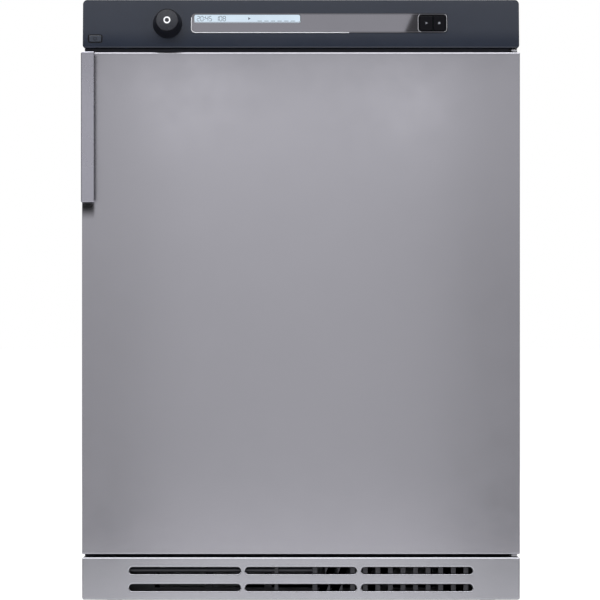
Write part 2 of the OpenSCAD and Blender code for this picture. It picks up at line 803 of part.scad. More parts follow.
module plinth_grille() {
  x0 = -1.5 * slot_len - slot_bridge - 8;
  x1 = -x0;
  y0 = y_plinth + slot_lip + 3;
  rail = 5;
  rib_x0 = 19;
  color([0.05, 0.05, 0.06]) union() {
    block([x0, y0, z_base + 3], [x1, y0 + 8, z_base + 3 + rail]);
    block([x0, y0, z_plinth - 3 - rail], [x1, y0 + 8, z_plinth - 3]);
    for (x = [x0, -36, x1 - rail])
      block([x, y0, z_base + 3], [x + rail, y0 + 8, z_plinth - 3]);
    for (x = [rib_x0:rib_pitch:x1 - rail - rib_w])
      block([x - rib_w / 2, y0, z_base + 3], [x + rib_w / 2, y0 + 8, z_plinth - 3]);
    translate([x0 + 2, y0 + 4, z_base + slot_low + slot_rows + 0.3]) rotate([0, 90, 0])
      cylinder(r = 3.4, h = rib_x0 - x0 - 2);
    for (x = [x0, -36, x1 - rail])
      block([x, y0 + 7, z_plinth - 20], [x + rail, y_frame, z_plinth - 3]);
  }
}

// Door

// The plan outline of the door's pan
module door_plan(inset, y1) {
  half = body_w / 2 - inset;
  r = max(door_edge - inset, 0.5);
  polygon(concat([[half, y1], [-half, y1]],
    arc(-half + r, y_door + inset + r, r, 180, 270),
    arc(half - r, y_door + inset + r, r, 270, 360)));
}

// The side outline of the door's pan
module door_side(inset, y1) {
  r = max(door_edge - inset, 0.5);
  z0 = z_door0 + inset;
  z1 = z_door1 - inset;
  polygon(concat([[y1, z0], [y1, z1]],
    arc(y_door + inset + r, z1 - r, r, 90, 180),
    arc(y_door + inset + r, z0 + r, r, 180, 270)));
}

module door_block(inset, y1) {
  intersection() {
    translate([0, 0, z_door0 - 5]) linear_extrude(z_door1 - z_door0 + 10) door_plan(inset, y1);
    along_x(-body_w / 2 - 5, body_w / 2 + 5) door_side(inset, y1);
  }
}

module door_panel() {
  color([0.68, 0.68, 0.7]) difference() {
    door_block(0, liner_y0);
    door_block(sheet, liner_y0 + 1);
    for (z = [z_door0, z_door1])
      translate([hinge_x, hinge_y, z - 3]) cylinder(r = pin_r + 2, h = 6);
  }
}

module door_liner() {
  half = body_w / 2 - 1.5;
  rim = 12;
  rim_half = body_w / 2 - sheet - slide_fit;
  rim_z0 = z_door0 + sheet + slide_fit;
  rim_z1 = z_door1 - sheet - slide_fit;
  color([0.85, 0.85, 0.87]) difference() {
    union() {
      intersection() {
        block([-half, liner_y0, z_door0 + 1.5], [half, y_liner, z_door1 - 1.5]);
        along_x(-half - 1, half + 1) polygon([[liner_y0, z_door0], [y_liner - 1.5, z_door0],
          [y_liner, z_door0 + 3], [y_liner, z_door1 - 3], [y_liner - 1.5, z_door1], [liner_y0, z_door1]]);
        translate([0, 0, z_door0 - 1]) linear_extrude(z_door1 - z_door0 + 2) polygon([
          [-half, liner_y0], [half, liner_y0], [half, y_liner - 1.5], [half - 1.5, y_liner],
          [-half + 1.5, y_liner], [-half, y_liner - 1.5]]);
      }
      difference() {
        block([-rim_half, liner_y0 - rim, rim_z0], [rim_half, liner_y0 + eps, rim_z1]);
        block([-rim_half + 2, liner_y0 - rim - 1, rim_z0 + 2],
          [rim_half - 2, liner_y0 + 1, rim_z1 - 2]);
      }
      plug();
      for (s = [0, 1]) hinge_boss(s > 0 ? rim_z1 - pin_len - 6 : rim_z0);
      filter_rails();
    }
    bar_y(0, drum_z, plug_r - liner_t - 2, liner_y0 - 1, plug_y - liner_t);
    block([-filter_w / 2 + window_in, plug_y - liner_t - 1, filter_z + window_in],
      [filter_w / 2 - window_in, plug_y + 1, filter_z + filter_h - window_in]);
    block([-65, y_liner + 3, drum_z - plug_r - 1], [65, plug_y - 6, drum_z - plug_r + 30]);
    translate([hinge_x, hinge_y, rim_z0 - 1]) cylinder(r = pin_r + run_fit, h = pin_len + 3);
    translate([hinge_x, hinge_y, rim_z1 - pin_len - 2]) cylinder(r = pin_r + run_fit, h = pin_len + 3);
  }
}

// The round plug of the liner, a shell with a rounded rim
module plug() {
  r = 8;
  translate([0, y_liner, drum_z]) rotate([-90, 0, 0]) rotate_extrude() polygon(concat(
    [[0, -eps], [plug_r, -eps]], arc(plug_r - r, plug_d - r, r, 0, 90), [[0, plug_d]]));
}

// A block with the bore for one hinge pin
module hinge_boss(z) {
  block([hinge_x - 7, hinge_y - 7, z], [body_w / 2 - sheet - slide_fit, liner_y0 + eps, z + pin_len + 6]);
}

// Channels at both sides of the lint filter and a sill below it
module filter_rails() {
  y1 = filter_y0 + filter_t + slide_fit;
  for (s = [-1, 1]) {
    x0 = s * (filter_w / 2 + slide_fit);
    x1 = s * (filter_w / 2 + slide_fit + rail_wall);
    block([min(x0, x1), plug_y - eps, filter_z - slide_fit - rail_wall],
      [max(x0, x1), y1 + rail_wall, filter_z + filter_h - 20]);
    x2 = s * (filter_w / 2 - 5);
    block([min(x1, x2), y1, filter_z - slide_fit - rail_wall],
      [max(x1, x2), y1 + rail_wall, filter_z + filter_h - 20]);
  }
  block([-filter_w / 2 - 1, plug_y - eps, filter_z - slide_fit - rail_wall],
    [filter_w / 2 + 1, y1 + rail_wall, filter_z - slide_fit]);
}

module door_handle() {
  x0 = -body_w / 2;
  z0 = z_door1 - 0.7 - handle_len;
  z1 = z_door1 - 0.7;
  color([0.66, 0.66, 0.7]) difference() {
    along_y(y_door - handle_proud, y_door)
      polygon([[x0, z0], [x0 + handle_w, z0], [x0 + handle_w, z1], [x0 + 2, z1], [x0, z1 - 2]]);
    block([x0 + handle_wall, y_door - handle_proud + handle_wall, z0 + handle_wall],
      [x0 + handle_w + 1, y_door + 1, z1 - handle_wall]);
  }
}

module door_seal() {
  color("dimgray") tube_y(0, drum_z, mouth_r + 13, mouth_r + 5, y_liner, y_frame - slide_fit);
}

module latch_strike() {
  color("silver") union() {
    block([latch_x - 7, y_liner, latch_z - 15], [latch_x + 7, y_liner + 1.5, latch_z + 15]);
    block([latch_x - 1.5, y_liner + 1, latch_z - 6], [latch_x + 1.5, y_liner + 20, latch_z + 6]);
    block([latch_x - 1.5, y_liner + 15, latch_z - 7.5], [latch_x + 1.5, y_liner + 20, latch_z + 7.5]);
  }
}

module door_catch() {
  w = 15;
  color("dimgray") difference() {
    block([latch_x - w, y_inner, latch_z - 20], [latch_x + w, y_inner + 34, latch_z + 20]);
    block([latch_x - 6, y_inner - 1, latch_z - 11], [latch_x + 6, y_inner + 26, latch_z + 11]);
  }
}

module filter_frame() {
  color("dimgray") difference() {
    union() {
      block([-filter_w / 2, filter_y0, filter_z],
        [filter_w / 2, filter_y0 + filter_t, filter_z + filter_h]);
      block([-30, filter_y0 + filter_t - eps, filter_z + filter_h - 14],
        [30, filter_y0 + filter_t + 5, filter_z + filter_h]);
    }
    block([-filter_w / 2 + window_in, filter_y0 - 1, filter_z + window_in],
      [filter_w / 2 - window_in, filter_y0 + filter_t + 1, filter_z + filter_h - window_in - 4]);
  }
}

module filter_mesh() {
  mid = filter_y0 + filter_t / 2;
  color("gainsboro") difference() {
    block([-filter_w / 2 + window_in, mid - 0.5, filter_z + window_in],
      [filter_w / 2 - window_in, mid + 0.5, filter_z + filter_h - window_in - 4]);
  }
}

module door_hinges() {
  color("silver") union() {
    hinge(z_door1 + 1.7, z_panel - 1.5, 1);
    hinge(z_plinth + 1.2, z_door0 - 1.2, -1);
  }
}

// One hinge: an arm with its pin and a flange on the front frame
module hinge(z0, z1, s) {
  arm_half = 4.2;
  flange_t = 1.8;
  difference() {
    union() {
      translate([0, 0, z0]) linear_extrude(z1 - z0) polygon([
        [hinge_x - arm_half, hinge_y - 8], [hinge_x + arm_half, hinge_y - 8],
        [hinge_x + arm_half, y_frame], [hinge_x - 26, y_frame], [hinge_x - 26, y_frame - 4],
        [hinge_x - arm_half, hinge_y + 10]]);
      if (s > 0)
        block([hinge_x - 26, y_frame - flange_t, z_door1 - 40], [hinge_x + arm_half, y_frame, z0 + eps]);
      else
        block([hinge_x - 26, y_frame - flange_t, z1 - eps], [hinge_x + arm_half, y_frame, z_door0 + 40]);
      translate([hinge_x, hinge_y, s > 0 ? z_door1 - pin_len : z1 - eps])
        cylinder(r = pin_r, h = s > 0 ? z0 - z_door1 + pin_len + eps : z_door0 - z1 + pin_len);
      if (s < 0)
        translate([hinge_x, hinge_y, z1 - eps]) cylinder(r = pin_r + 1.8, h = z_door0 - z1 - slide_fit);
    }
  }
}

// Drum with what carries and seals it

module drum_shell() {
  y_step = drum_y0 + neck_len;
  color("silver") translate([0, 0, drum_z]) rotate([-90, 0, 0]) rotate_extrude() polygon([
    [neck_r - drum_t, drum_y0], [neck_r, drum_y0], [neck_r, y_step],
    [drum_r, y_step], [drum_r, drum_y1], [drum_r - drum_t, drum_y1],
    [drum_r - drum_t, y_step + drum_t], [neck_r - drum_t, y_step + drum_t]]);
}

// Number and radius of the rings of air holes in the rear wall
vent_rings = [[16, 80], [22, 108], [28, 136], [34, 164], [40, 192]];

module drum_rear_wall() {
  y1 = drum_y1 - 1;
  r = drum_r - drum_t - 0.1;
  color("silver") difference() {
    union() {
      bar_y(0, drum_z, r, y1 - drum_t, y1);
      tube_y(0, drum_z, r, r - drum_t, y1 - 10, y1 - drum_t + eps);
    }
    bar_y(0, drum_z, shaft_r + slide_fit, y1 - drum_t - 1, y1 + 1);
    for (ring = vent_rings, i = [0:ring[0] - 1])
      bar_y(ring[1] * cos(360 * i / ring[0]), drum_z + ring[1] * sin(360 * i / ring[0]), vent_r,
        y1 - drum_t - 1, y1 + 1);
  }
}

module drum_lifters() {
  skin = 2.5;
  y0 = drum_y0 + neck_len + drum_t + 12;
  y1 = drum_y1 - 14;
  r = drum_r - drum_t - 0.1;
  a = asin(lifter_w / 2 / r);
  top = r - lifter_h;
  color("gainsboro") translate([0, 0, drum_z]) for (i = [0:lifters - 1])
    rotate([0, 360 * i / lifters, 0]) difference() {
      along_y(y0, y1) polygon(concat(
        arc(0, 0, r, 270 - a, 270 + a, 12),
        [[lifter_w * 0.24, -r + lifter_h * 0.45]],
        arc(0, -top - 12, 12, 30, 150, 6),
        [[-lifter_w * 0.24, -r + lifter_h * 0.45]]));
      along_y(y0 + skin, y1 - skin) polygon(concat(
        [[-lifter_w * 0.5 + 9, -r - 1], [lifter_w * 0.5 - 9, -r - 1], [lifter_w * 0.5 - 9, -r + 5],
          [lifter_w * 0.24 - skin, -r + lifter_h * 0.45]],
        arc(0, -top - 12, 12 - skin, 30, 150, 6),
        [[-lifter_w * 0.24 + skin, -r + lifter_h * 0.45], [-lifter_w * 0.5 + 9, -r + 5]]));
    }
}

module drum_shaft() {
  y1 = drum_y1 - 1 - drum_t;
  color("gray") union() {
    bar_y(0, drum_z, hub_r, y1 - 5, y1);
    bar_y(0, drum_z, shaft_r, y1 - eps, bearing_y1 + 5);
    bar_y(0, drum_z, shaft_r + 3, bearing_y1 + slide_fit, bearing_y1 + 2);
  }
}

bearing_y0 = y_back_in - bearing_flange;
bearing_y1 = bearing_y0 + bearing_len;

module rear_bearing() {
  color("dimgray") difference() {
    union() {
      bar_y(0, drum_z, 30, bearing_y0, y_back_in);
      bar_y(0, drum_z, shaft_r + 6, bearing_y0, bearing_y1);
    }
    bar_y(0, drum_z, shaft_r + run_fit, bearing_y0 - 1, bearing_y1 + 1);
  }
}

module drum_felt_seals() {
  color("gainsboro") {
    tube_y(0, drum_z, neck_r - drum_t - slide_fit, felt_r, drum_y0 + 1, y_bulk + felt_len);
    tube_y(0, drum_z, drum_r - 13, drum_r - 23, drum_y1 - 1 + slide_fit, y_back_in);
  }
}

module roller(s) {
  color("dimgray") translate([s * roller_x, roller_y0, roller_z]) rotate([-90, 0, 0]) difference() {
    rotate_extrude() polygon([[axle_r + 3, 0], [roller_r - 6, 0], [roller_r - 6, 2], [roller_r, 2],
      [roller_r, roller_w - 2], [roller_r - 6, roller_w - 2], [roller_r - 6, roller_w],
      [axle_r + 3, roller_w], [axle_r - 1, roller_w], [axle_r - 1, 0]]);
    translate([0, 0, -1]) cylinder(r = axle_r + run_fit, h = roller_w + 2);
  }
}

module roller_left() {
  roller(-1);
}

module roller_right() {
  roller(1);
}

module roller_axles() {
  color("silver") for (s = [-1, 1]) union() {
    bar_y(s * roller_x, roller_z, axle_r, y_inner + 4, roller_y1 + 4);
    bar_y(s * roller_x, roller_z, axle_r + 3, roller_y1 + slide_fit, roller_y1 + 1.5);
  }
}

// Drive

// Angle of the right-hand normal of the tangent that a belt takes from one circle to the next
function tangent(a, b) =
  let (dx = b[0] - a[0], dz = b[1] - a[1])
  atan2(dz, dx) - acos((a[3] * a[2] - b[3] * b[2]) / sqrt(dx * dx + dz * dz));

// Circles of the belt's middle line: [x, z, radius, turn], where turn is 1 or -1 for a reversed bend
belt_circles = [
  [0, drum_z, drum_r + belt_clear + belt_t / 2, 1],
  [idler_x, idler_z, idler_r + belt_clear + belt_t / 2, -1],
  [motor_x, motor_z, rotor_r + belt_clear + belt_t / 2, 1]];

// Arc of one circle of the belt, at an offset outwards from the loop
function belt_arc(c, a_in, a_out, off, n) =
  let (turned = c[3] > 0 ? a_out - a_in : a_in - a_out, sweep = ((turned % 360) + 360) % 360,
    base = c[3] > 0 ? a_in : a_in + 180)
  arc(c[0], c[1], c[2] + c[3] * off, base, base + c[3] * sweep, n);

function belt_line(off) =
  let (c = belt_circles, t01 = tangent(c[0], c[1]), t12 = tangent(c[1], c[2]), t20 = tangent(c[2], c[0]))
  concat(belt_arc(c[0], t20, t01, off, 64), belt_arc(c[1], t01, t12, off, 8),
    belt_arc(c[2], t12, t20, off, 16));

module drive_belt() {
  color([0.1, 0.1, 0.1]) along_y(belt_y - belt_w / 2, belt_y + belt_w / 2) difference() {
    polygon(belt_line(belt_t / 2));
    polygon(belt_line(-belt_t / 2));
  }
}

motor_block_x = motor_x - motor_r - 8;
motor_block_y = (motor_y0 + motor_y1) / 2;

module motor_housing() {
  cap = 8;
  color("gray") difference() {
    union() {
      bar_y(motor_x, motor_z, motor_r, motor_y0, motor_y1);
      bar_y(motor_x, motor_z, boss_r, motor_y0 - boss_len, motor_y1 + boss_len);
      block([motor_block_x, motor_block_y - 10, motor_z - 12],
        [motor_x - motor_r + 6, motor_block_y + 10, motor_z + 12]);
    }
    bar_y(motor_x, motor_z, motor_r - 18, motor_y0 + cap, motor_y1 - cap);
    bar_y(motor_x, motor_z, rotor_r + run_fit, motor_y0 - boss_len - 1, motor_y1 + boss_len + 1);
  }
}

module motor_rotor() {
  core_r = motor_r - 20;
  color("silver") union() {
    bar_y(motor_x, motor_z, rotor_r, scroll_y0 + 10, belt_y + belt_w / 2 + 6);
    bar_y(motor_x, motor_z, core_r, motor_y0 + 20, motor_y1 - 20);
    bar_y(motor_x, motor_z, grip_r, belt_y - belt_w / 2 - 3, belt_y - belt_w / 2 - 1);
    bar_y(motor_x, motor_z, grip_r, belt_y + belt_w / 2 + 1, belt_y + belt_w / 2 + 3);
  }
}

// A cradle: floor plate on the base pan's posts, and two uprights under the motor's end bosses
module motor_bracket() {
  t = 2;
  half = 62;
  color("gainsboro") union() {
    block([motor_x - half, motor_y0 - 6, bracket_z], [motor_x + half, motor_y1 + 6, bracket_z + t]);
    for (y = [motor_y0 - 6, motor_y1 + 6 - t])
      difference() {
        union() {
          block([motor_x - half, y, bracket_z], [motor_x + half, y + t, bracket_z + 40]);
          block([motor_x - 30, y, bracket_z], [motor_x + 30, y + t, motor_z]);
        }
        bar_y(motor_x, motor_z, boss_r + 0.2, y - 1, y + t + 1);
      }
    block([arm_x - 12, motor_y1 + 6 - t, bracket_z], [motor_x - half + eps, motor_y1 + 6, arm_z + 12]);
    bar_y(arm_x, arm_z, 5, motor_y1 + 6 - eps, arm_y1 + 4);
    bar_y(arm_x, arm_z, 8, motor_y1 + 6 - eps, arm_y1 - arm_t - 8 - slide_fit);
  }
}

arm_y1 = belt_y - belt_w / 2 - 5;

module tension_arm() {
  reach = sqrt(pow(idler_x - arm_x, 2) + pow(idler_z - arm_z, 2));
  turn = atan2(idler_z - arm_z, idler_x - arm_x);
  color("gainsboro") difference() {
    union() {
      along_y(arm_y1 - arm_t, arm_y1) polygon(concat(
        arc(arm_x, arm_z, 11, turn + 90, turn + 270, 12),
        arc(idler_x, idler_z, 8, turn - 90, turn + 90, 12)));
      bar_y(arm_x, arm_z, 9, arm_y1 - arm_t - 8, arm_y1);
      bar_y(idler_x, idler_z, 4, arm_y1 - eps, belt_y + belt_w / 2 + 6);
    }
    bar_y(arm_x, arm_z, 5 + run_fit, arm_y1 - arm_t - 9, arm_y1 + 1);
  }
}

module idler_pulley() {
  color("dimgray") difference() {
    union() {
      bar_y(idler_x, idler_z, idler_r, belt_y - belt_w / 2 - 3, belt_y + belt_w / 2 + 3);
      bar_y(idler_x, idler_z, 9, arm_y1 + slide_fit, belt_y);
    }
    bar_y(idler_x, idler_z, 4 + run_fit, arm_y1 - 1, belt_y + belt_w / 2 + 8);
  }
}

module run_capacitor() {
  x = motor_x + motor_r + 30;
  color("gainsboro") union() {
    translate([x, motor_y1 - 30, z_floor]) cylinder(r = 19, h = 72);
    translate([x, motor_y1 - 30, z_floor + 72 - eps]) cylinder(r = 8, h = 8);
  }
}

// Air path

// The fan housing's outline round the motor's axis, moved out by an offset
function scroll_line(off) = concat(
  [for (i = [0:48]) let (a = 200 - 290 * i / 48, r = scroll_r + scroll_grow * i / 48 + off)
    [motor_x + r * cos(a), motor_z + r * sin(a)]],
  [[outlet_x, motor_z - scroll_r - scroll_grow - off], [outlet_x, motor_z - outlet_top + off]]);

module fan_housing() {
  skin = 2.5;
  leg_low = z_floor;
  color("dimgray") difference() {
    union() {
      along_y(scroll_y0, scroll_y1) polygon(scroll_line(0));
      for (x = [motor_x - 40, motor_x + 32])
        block([x, scroll_y0 + 20, leg_low], [x + 8, scroll_y1 - 20, motor_z - scroll_r]);
    }
    along_y(scroll_y0 + skin, scroll_y1 - skin) polygon(scroll_line(-skin));
    block([outlet_x - 1, scroll_y0 + skin, motor_z - scroll_r - scroll_grow + skin],
      [outlet_x + 6, scroll_y1 - skin, motor_z - outlet_top - skin]);
    bar_y(motor_x, motor_z, fan_r - 17, scroll_y0 - 1, scroll_y0 + skin + 1);
    bar_y(motor_x, motor_z, rotor_r + 6, scroll_y1 - skin - 1, scroll_y1 + 1);
  }
}

module fan_impeller() {
  y0 = scroll_y0 + 6;
  y1 = y0 + fan_w;
  blade_in = fan_r - 14;
  color("gainsboro") difference() {
    union() {
      bar_y(motor_x, motor_z, fan_r, y1 - 2, y1);
      tube_y(motor_x, motor_z, fan_r, blade_in, y0, y0 + 2);
      bar_y(motor_x, motor_z, 14, y0 + 12, y1);
      translate([motor_x, 0, motor_z]) for (i = [0:fan_blades - 1])
        rotate([0, 360 * i / fan_blades, 0]) along_y(y0 + 1, y1 - 1) polygon([
          [blade_in + 1, -2.2], [fan_r - 1, 1.2], [fan_r - 1, 2.6], [blade_in + 1, -0.6]]);
    }
    bar_y(motor_x, motor_z, rotor_r + 0.1, y0 - 1, y1 + 1);
  }
}

// The duct that leads from the mouth down to the fan
module front_air_duct() {
  y1 = y_bulk;
  wide = throat - duct_wall;
  out = [[-throat, throat_z], [throat, throat_z],
    [motor_x + 66, motor_z + 14], [motor_x + 62, z_plinth + 4],
    [motor_x - 60, z_plinth + 4], [-throat, throat_z - 45]];
  in = [[-wide, throat_z + 1], [wide, throat_z + 1], [motor_x + 63.5, motor_z + 13.5],
    [motor_x + 59.8, z_plinth + 6], [motor_x - 59.3, z_plinth + 6], [-wide, throat_z - 44]];
  neck = fan_r - 15;
  color("dimgray") difference() {
    union() {
      along_y(y_inner, y1) polygon(out);
      bar_y(motor_x, motor_z, neck, y1 - eps, scroll_y0);
    }
    along_y(y_inner + duct_wall, y1 - duct_wall) polygon(in);
    bar_y(motor_x, motor_z, neck - duct_wall, y1 - duct_wall - 1, scroll_y0 + 1);
  }
}

module exhaust_duct() {
  low = motor_z - scroll_r - scroll_grow;
  high = motor_z - outlet_top;
  y_end = y_rear + spigot_len;
  w = duct_wall;
  color("gainsboro") difference() {
    union() {
      block([chamber_x1 - 5, scroll_y0, low], [outlet_x, scroll_y1, high]);
      block([chamber_x0, scroll_y0, duct_z - duct_r], [chamber_x1, scroll_y1, duct_z + duct_r]);
      bar_y(-duct_x, duct_z, duct_r, tube_y0 - eps, y_end);
      tube_y(-duct_x, duct_z, duct_r + 10, duct_r - 1, y_back, y_back + 2);
    }
    block([chamber_x1 - 10, scroll_y0 + w, low + w], [outlet_x + 1, scroll_y1 - w, high - w]);
    block([chamber_x0 + w, scroll_y0 + w, duct_z - duct_r + w],
      [chamber_x1 - w, scroll_y1 - w, duct_z + duct_r - w]);
    bar_y(-duct_x, duct_z, duct_r - w, tube_y0 - w - 1, y_end + 1);
  }
}

// The outline of the rear duct's cover, moved out by an offset
module cover_outline(off) {
  circle_r = cover_r + off;
  union() {
    translate([0, drum_z]) circle(r = circle_r);
    translate([chute_x0 - off, chute_z0 - off])
      square([chute_x1 - chute_x0 + 2 * off, drum_z - chute_z0 + off]);
  }
}

module rear_duct_cover() {
  color("silver") difference() {
    union() {
      along_y(y_back, y_back + sheet) cover_outline(band);
      along_y(y_back, y_back + cover_d) cover_outline(0);
    }
    along_y(y_back - 1, y_back + cover_d - sheet) cover_outline(-sheet);
    rear_holes(cover_screws);
  }
}

// Three hairpins of heating tube on a plate across the chute
module heater_element() {
  plate_z = chute_z0 + 80;
  mid_y = y_back + cover_d / 2;
  bend = 11;
  rod = 4;
  rise = 150;
  color("gray") union() {
    block([chute_x0 + sheet, mid_y - 12, plate_z], [chute_x1 - sheet, mid_y + 12, plate_z + 3]);
    for (x = [chute_x0 + 30, chute_x0 + 75, chute_x0 + 120]) {
      for (s = [-1, 1])
        translate([x + s * bend, mid_y, plate_z - 14]) cylinder(r = rod, h = rise + 14);
      translate([x, mid_y, plate_z + rise - eps]) rotate([90, 0, 0])
        rotate_extrude(angle = 180, $fn = 24) translate([bend, 0]) circle(r = rod);
    }
  }
}

// Two thermostats beside the heater's chute, and two humidity strips on the front bulkhead
module sensors() {
  color("black") {
    for (z = [chute_z0 + 20, chute_z0 + 92])
      bar_y(chute_x1 - 4, z, 10, y_back_in - 12, y_back_in);
    for (s = [-1, 1])
      translate([0, 0, drum_z]) rotate([0, s * 25, 0])
        block([-25, y_bulk, -lamp_r - 4], [25, y_bulk + 1.5, -lamp_r + 4]);
  }
}

// Box for the mains terminals, with the gland that a cord comes in through
module terminal_box() {
  x0 = 19.5 - x_side;
  x1 = x0 + 85;
  z1 = z_top - 14;
  z0 = z1 - 58;
  gland_x = x0 + 25;
  color("dimgray") difference() {
    union() {
      block([x0, y_back, z0], [x1, y_back + 28, z1]);
      translate([gland_x, y_back + 14, z0 - 12]) cylinder(r = 9, h = 13);
    }
    block([x0 + 2, y_back - 1, z0 + 2], [x1 - 2, y_back + 26, z1 - 2]);
    translate([gland_x, y_back + 14, z0 - 13]) cylinder(r = gland_r, h = 16);
  }
}

gland_r = 4.5;

module drum_lamp() {
  color("ivory") lamp_place() union() {
    translate([-15, -bulk_d, -6.5]) cube([30, 7, 13]);
    translate([0, -12, 0]) rotate([90, 0, 0]) cylinder(r = 4.5, h = bulk_d - 18);
    translate([0, -12, 0]) sphere(r = 5.5);
  }
}

module lamp_lens() {
  color("white") lamp_place() translate([-lamp_w / 2, 0, -lamp_h / 2]) cube([lamp_w, 3, lamp_h]);
}

// One pan head screw in the rear sheet, its head on the plane y
module screw(x, z, y) {
  bar_y(x, z, screw_r, y - screw_len, y);
  translate([x, y, z]) rotate([-90, 0, 0]) rotate_extrude() polygon([
    [0, 0], [screw_head, 0], [screw_head, 1.2], [screw_head * 0.6, 2.4], [0, 2.4]]);
}

module fasteners() {
  color("silver") union() {
    for (p = panel_screws) screw(p[0], p[1], y_back);
    for (p = cover_screws) screw(p[0], p[1], y_back + sheet);
    for (x = [-foot_x, foot_x], y = [foot_y0, foot_y1])
      translate([x, y, z_base - nut_h]) difference() {
        cylinder(r = 10.4, h = nut_h, $fn = 6);
        translate([0, 0, -1]) cylinder(r = stem_r + run_fit, h = nut_h + 2);
      }
  }
}

module foot(x, y) {
  color([0.12, 0.12, 0.12]) translate([x, y, 0]) union() {
    rotate_extrude() polygon([[0, 0], [foot_r - 2, 0], [foot_r, 2], [foot_r, foot_pad - 3],
      [foot_r * 0.5, foot_pad], [0, foot_pad]]);
    cylinder(r = stem_r, h = z_base + stem_in - 1);
  }
}

module foot_front_left() {
  foot(-foot_x, foot_y0);
}

module foot_front_right() {
  foot(foot_x, foot_y0);
}

module foot_rear_left() {
  foot(-foot_x, foot_y1);
}

module foot_rear_right() {
  foot(foot_x, foot_y1);
}

// Wires from the control board down the left front corner, over the exhaust duct and to the motor,
// held together by cable ties
module wiring_loom() {
  w = 5;
  x0 = -x_in + frame_t;
  z0 = duct_z + duct_r + slide_fit;
  z1 = panel_z + loom_v * cos(panel_lean);
  tie_t = 0.8;
  tie_w = 3;
  color("black") union() {
    on_panel() block([x0, board_in + 10, loom_v - w / 2], [x0 + w, board_in + 31, loom_v + w / 2]);
    block([x0, y_inner, z0], [x0 + w, y_inner + w, z1]);
    block([x0, y_inner, z0], [x0 + w, motor_block_y - w / 2 + eps, z0 + w]);
    block([x0, motor_block_y - w / 2, z0], [motor_block_x, motor_block_y + w / 2, z0 + w]);
    for (i = [1:4]) {
      zt = z0 + (z1 - z0) * i / 5;
      block([x0, y_inner, zt], [x0 + w + tie_t, y_inner + w + tie_t, zt + tie_w]);
    }
    for (i = [1:2]) {
      yt = y_inner + (motor_block_y - y_inner) * i / 3;
      xt = x0 + (motor_block_x - x0) * i / 3;
      block([x0, yt, z0], [x0 + w + tie_t, yt + tie_w, z0 + w + tie_t]);
      block([xt, motor_block_y - w / 2 - tie_t, z0],
        [xt + tie_w, motor_block_y + w / 2 + tie_t, z0 + w + tie_t]);
    }
  }
}

base_pan();
side_panel_left();
side_panel_right();
rear_panel();
front_frame();
front_bulkhead();
worktop();
control_panel();
display_trim();
display_window();
button_bezel();
control_board();
selector_encoder();
plinth_panel();
plinth_grille();
door_hinges();
door_catch();
drum_felt_seals();
rear_bearing();
rear_duct_cover();
heater_element();
sensors();
motor_housing();
motor_bracket();
run_capacitor();
fan_housing();
front_air_duct();
exhaust_duct();
terminal_box();
drum_lamp();
lamp_lens();
fasteners();
drive_belt();
roller_axles();
wiring_loom();
drum_shell();
drum_rear_wall();
drum_lifters();
drum_shaft();
motor_rotor();
fan_impeller();
idler_pulley();
tension_arm();
roller_left();
roller_right();
selector_knob();
power_button();
start_button();
stop_button();
foot_front_left();
foot_front_right();
foot_rear_left();
foot_rear_right();
door_panel();
door_liner();
door_handle();
door_seal();
latch_strike();
filter_frame();
filter_mesh();
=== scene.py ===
"""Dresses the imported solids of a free-standing vented tumble dryer.

Sizes are in millimetres in the classes below and become metres when a mesh is made.
+Z is up, the front faces -Y and +X is to the right of someone who faces the front.
"""
import sys
import json
import logging
import math
from dataclasses import dataclass, field
from enum import Enum

import bmesh
import bpy
import numpy as np
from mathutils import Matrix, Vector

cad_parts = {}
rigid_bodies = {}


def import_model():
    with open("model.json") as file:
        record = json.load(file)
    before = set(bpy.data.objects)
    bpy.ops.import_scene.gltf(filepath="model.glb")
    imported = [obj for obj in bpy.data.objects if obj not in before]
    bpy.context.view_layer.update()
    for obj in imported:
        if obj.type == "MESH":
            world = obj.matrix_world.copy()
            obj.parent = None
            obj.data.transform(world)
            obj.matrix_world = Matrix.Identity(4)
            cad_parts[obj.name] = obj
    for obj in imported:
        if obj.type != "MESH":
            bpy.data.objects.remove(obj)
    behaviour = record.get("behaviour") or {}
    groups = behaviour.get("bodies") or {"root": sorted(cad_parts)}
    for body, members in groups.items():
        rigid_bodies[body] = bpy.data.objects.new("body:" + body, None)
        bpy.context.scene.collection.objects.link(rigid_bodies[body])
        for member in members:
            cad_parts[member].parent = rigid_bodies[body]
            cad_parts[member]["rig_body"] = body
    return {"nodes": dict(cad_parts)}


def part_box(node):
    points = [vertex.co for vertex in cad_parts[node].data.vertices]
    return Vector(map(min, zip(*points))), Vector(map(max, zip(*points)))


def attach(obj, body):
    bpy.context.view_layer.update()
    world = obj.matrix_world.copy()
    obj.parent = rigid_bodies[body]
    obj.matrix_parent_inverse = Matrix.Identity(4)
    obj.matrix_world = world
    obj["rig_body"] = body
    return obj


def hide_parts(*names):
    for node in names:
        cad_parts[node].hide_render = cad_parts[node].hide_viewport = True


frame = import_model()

log = logging.getLogger("tumble_dryer")

Array = np.ndarray
Object = bpy.types.Object
Material = bpy.types.Material
Socket = bpy.types.NodeSocket
Pair = tuple[float, float]
Colour = tuple[float, float, float]
MM = 0.001
WHOLE_TURN = 2 * math.pi
# Width in millimetres of a patch of even gloss.
GLOSS_PATCH = 35.0
# Back and front of the display's figures, in millimetres out of the panel.
INK = (0.78, 0.86)


class Grain(Enum):
    """Direction in which a brushed or drawn surface is finished."""

    ACROSS = (0.012, 1.0, 1.0)
    DEEP = (1.0, 0.012, 1.0)


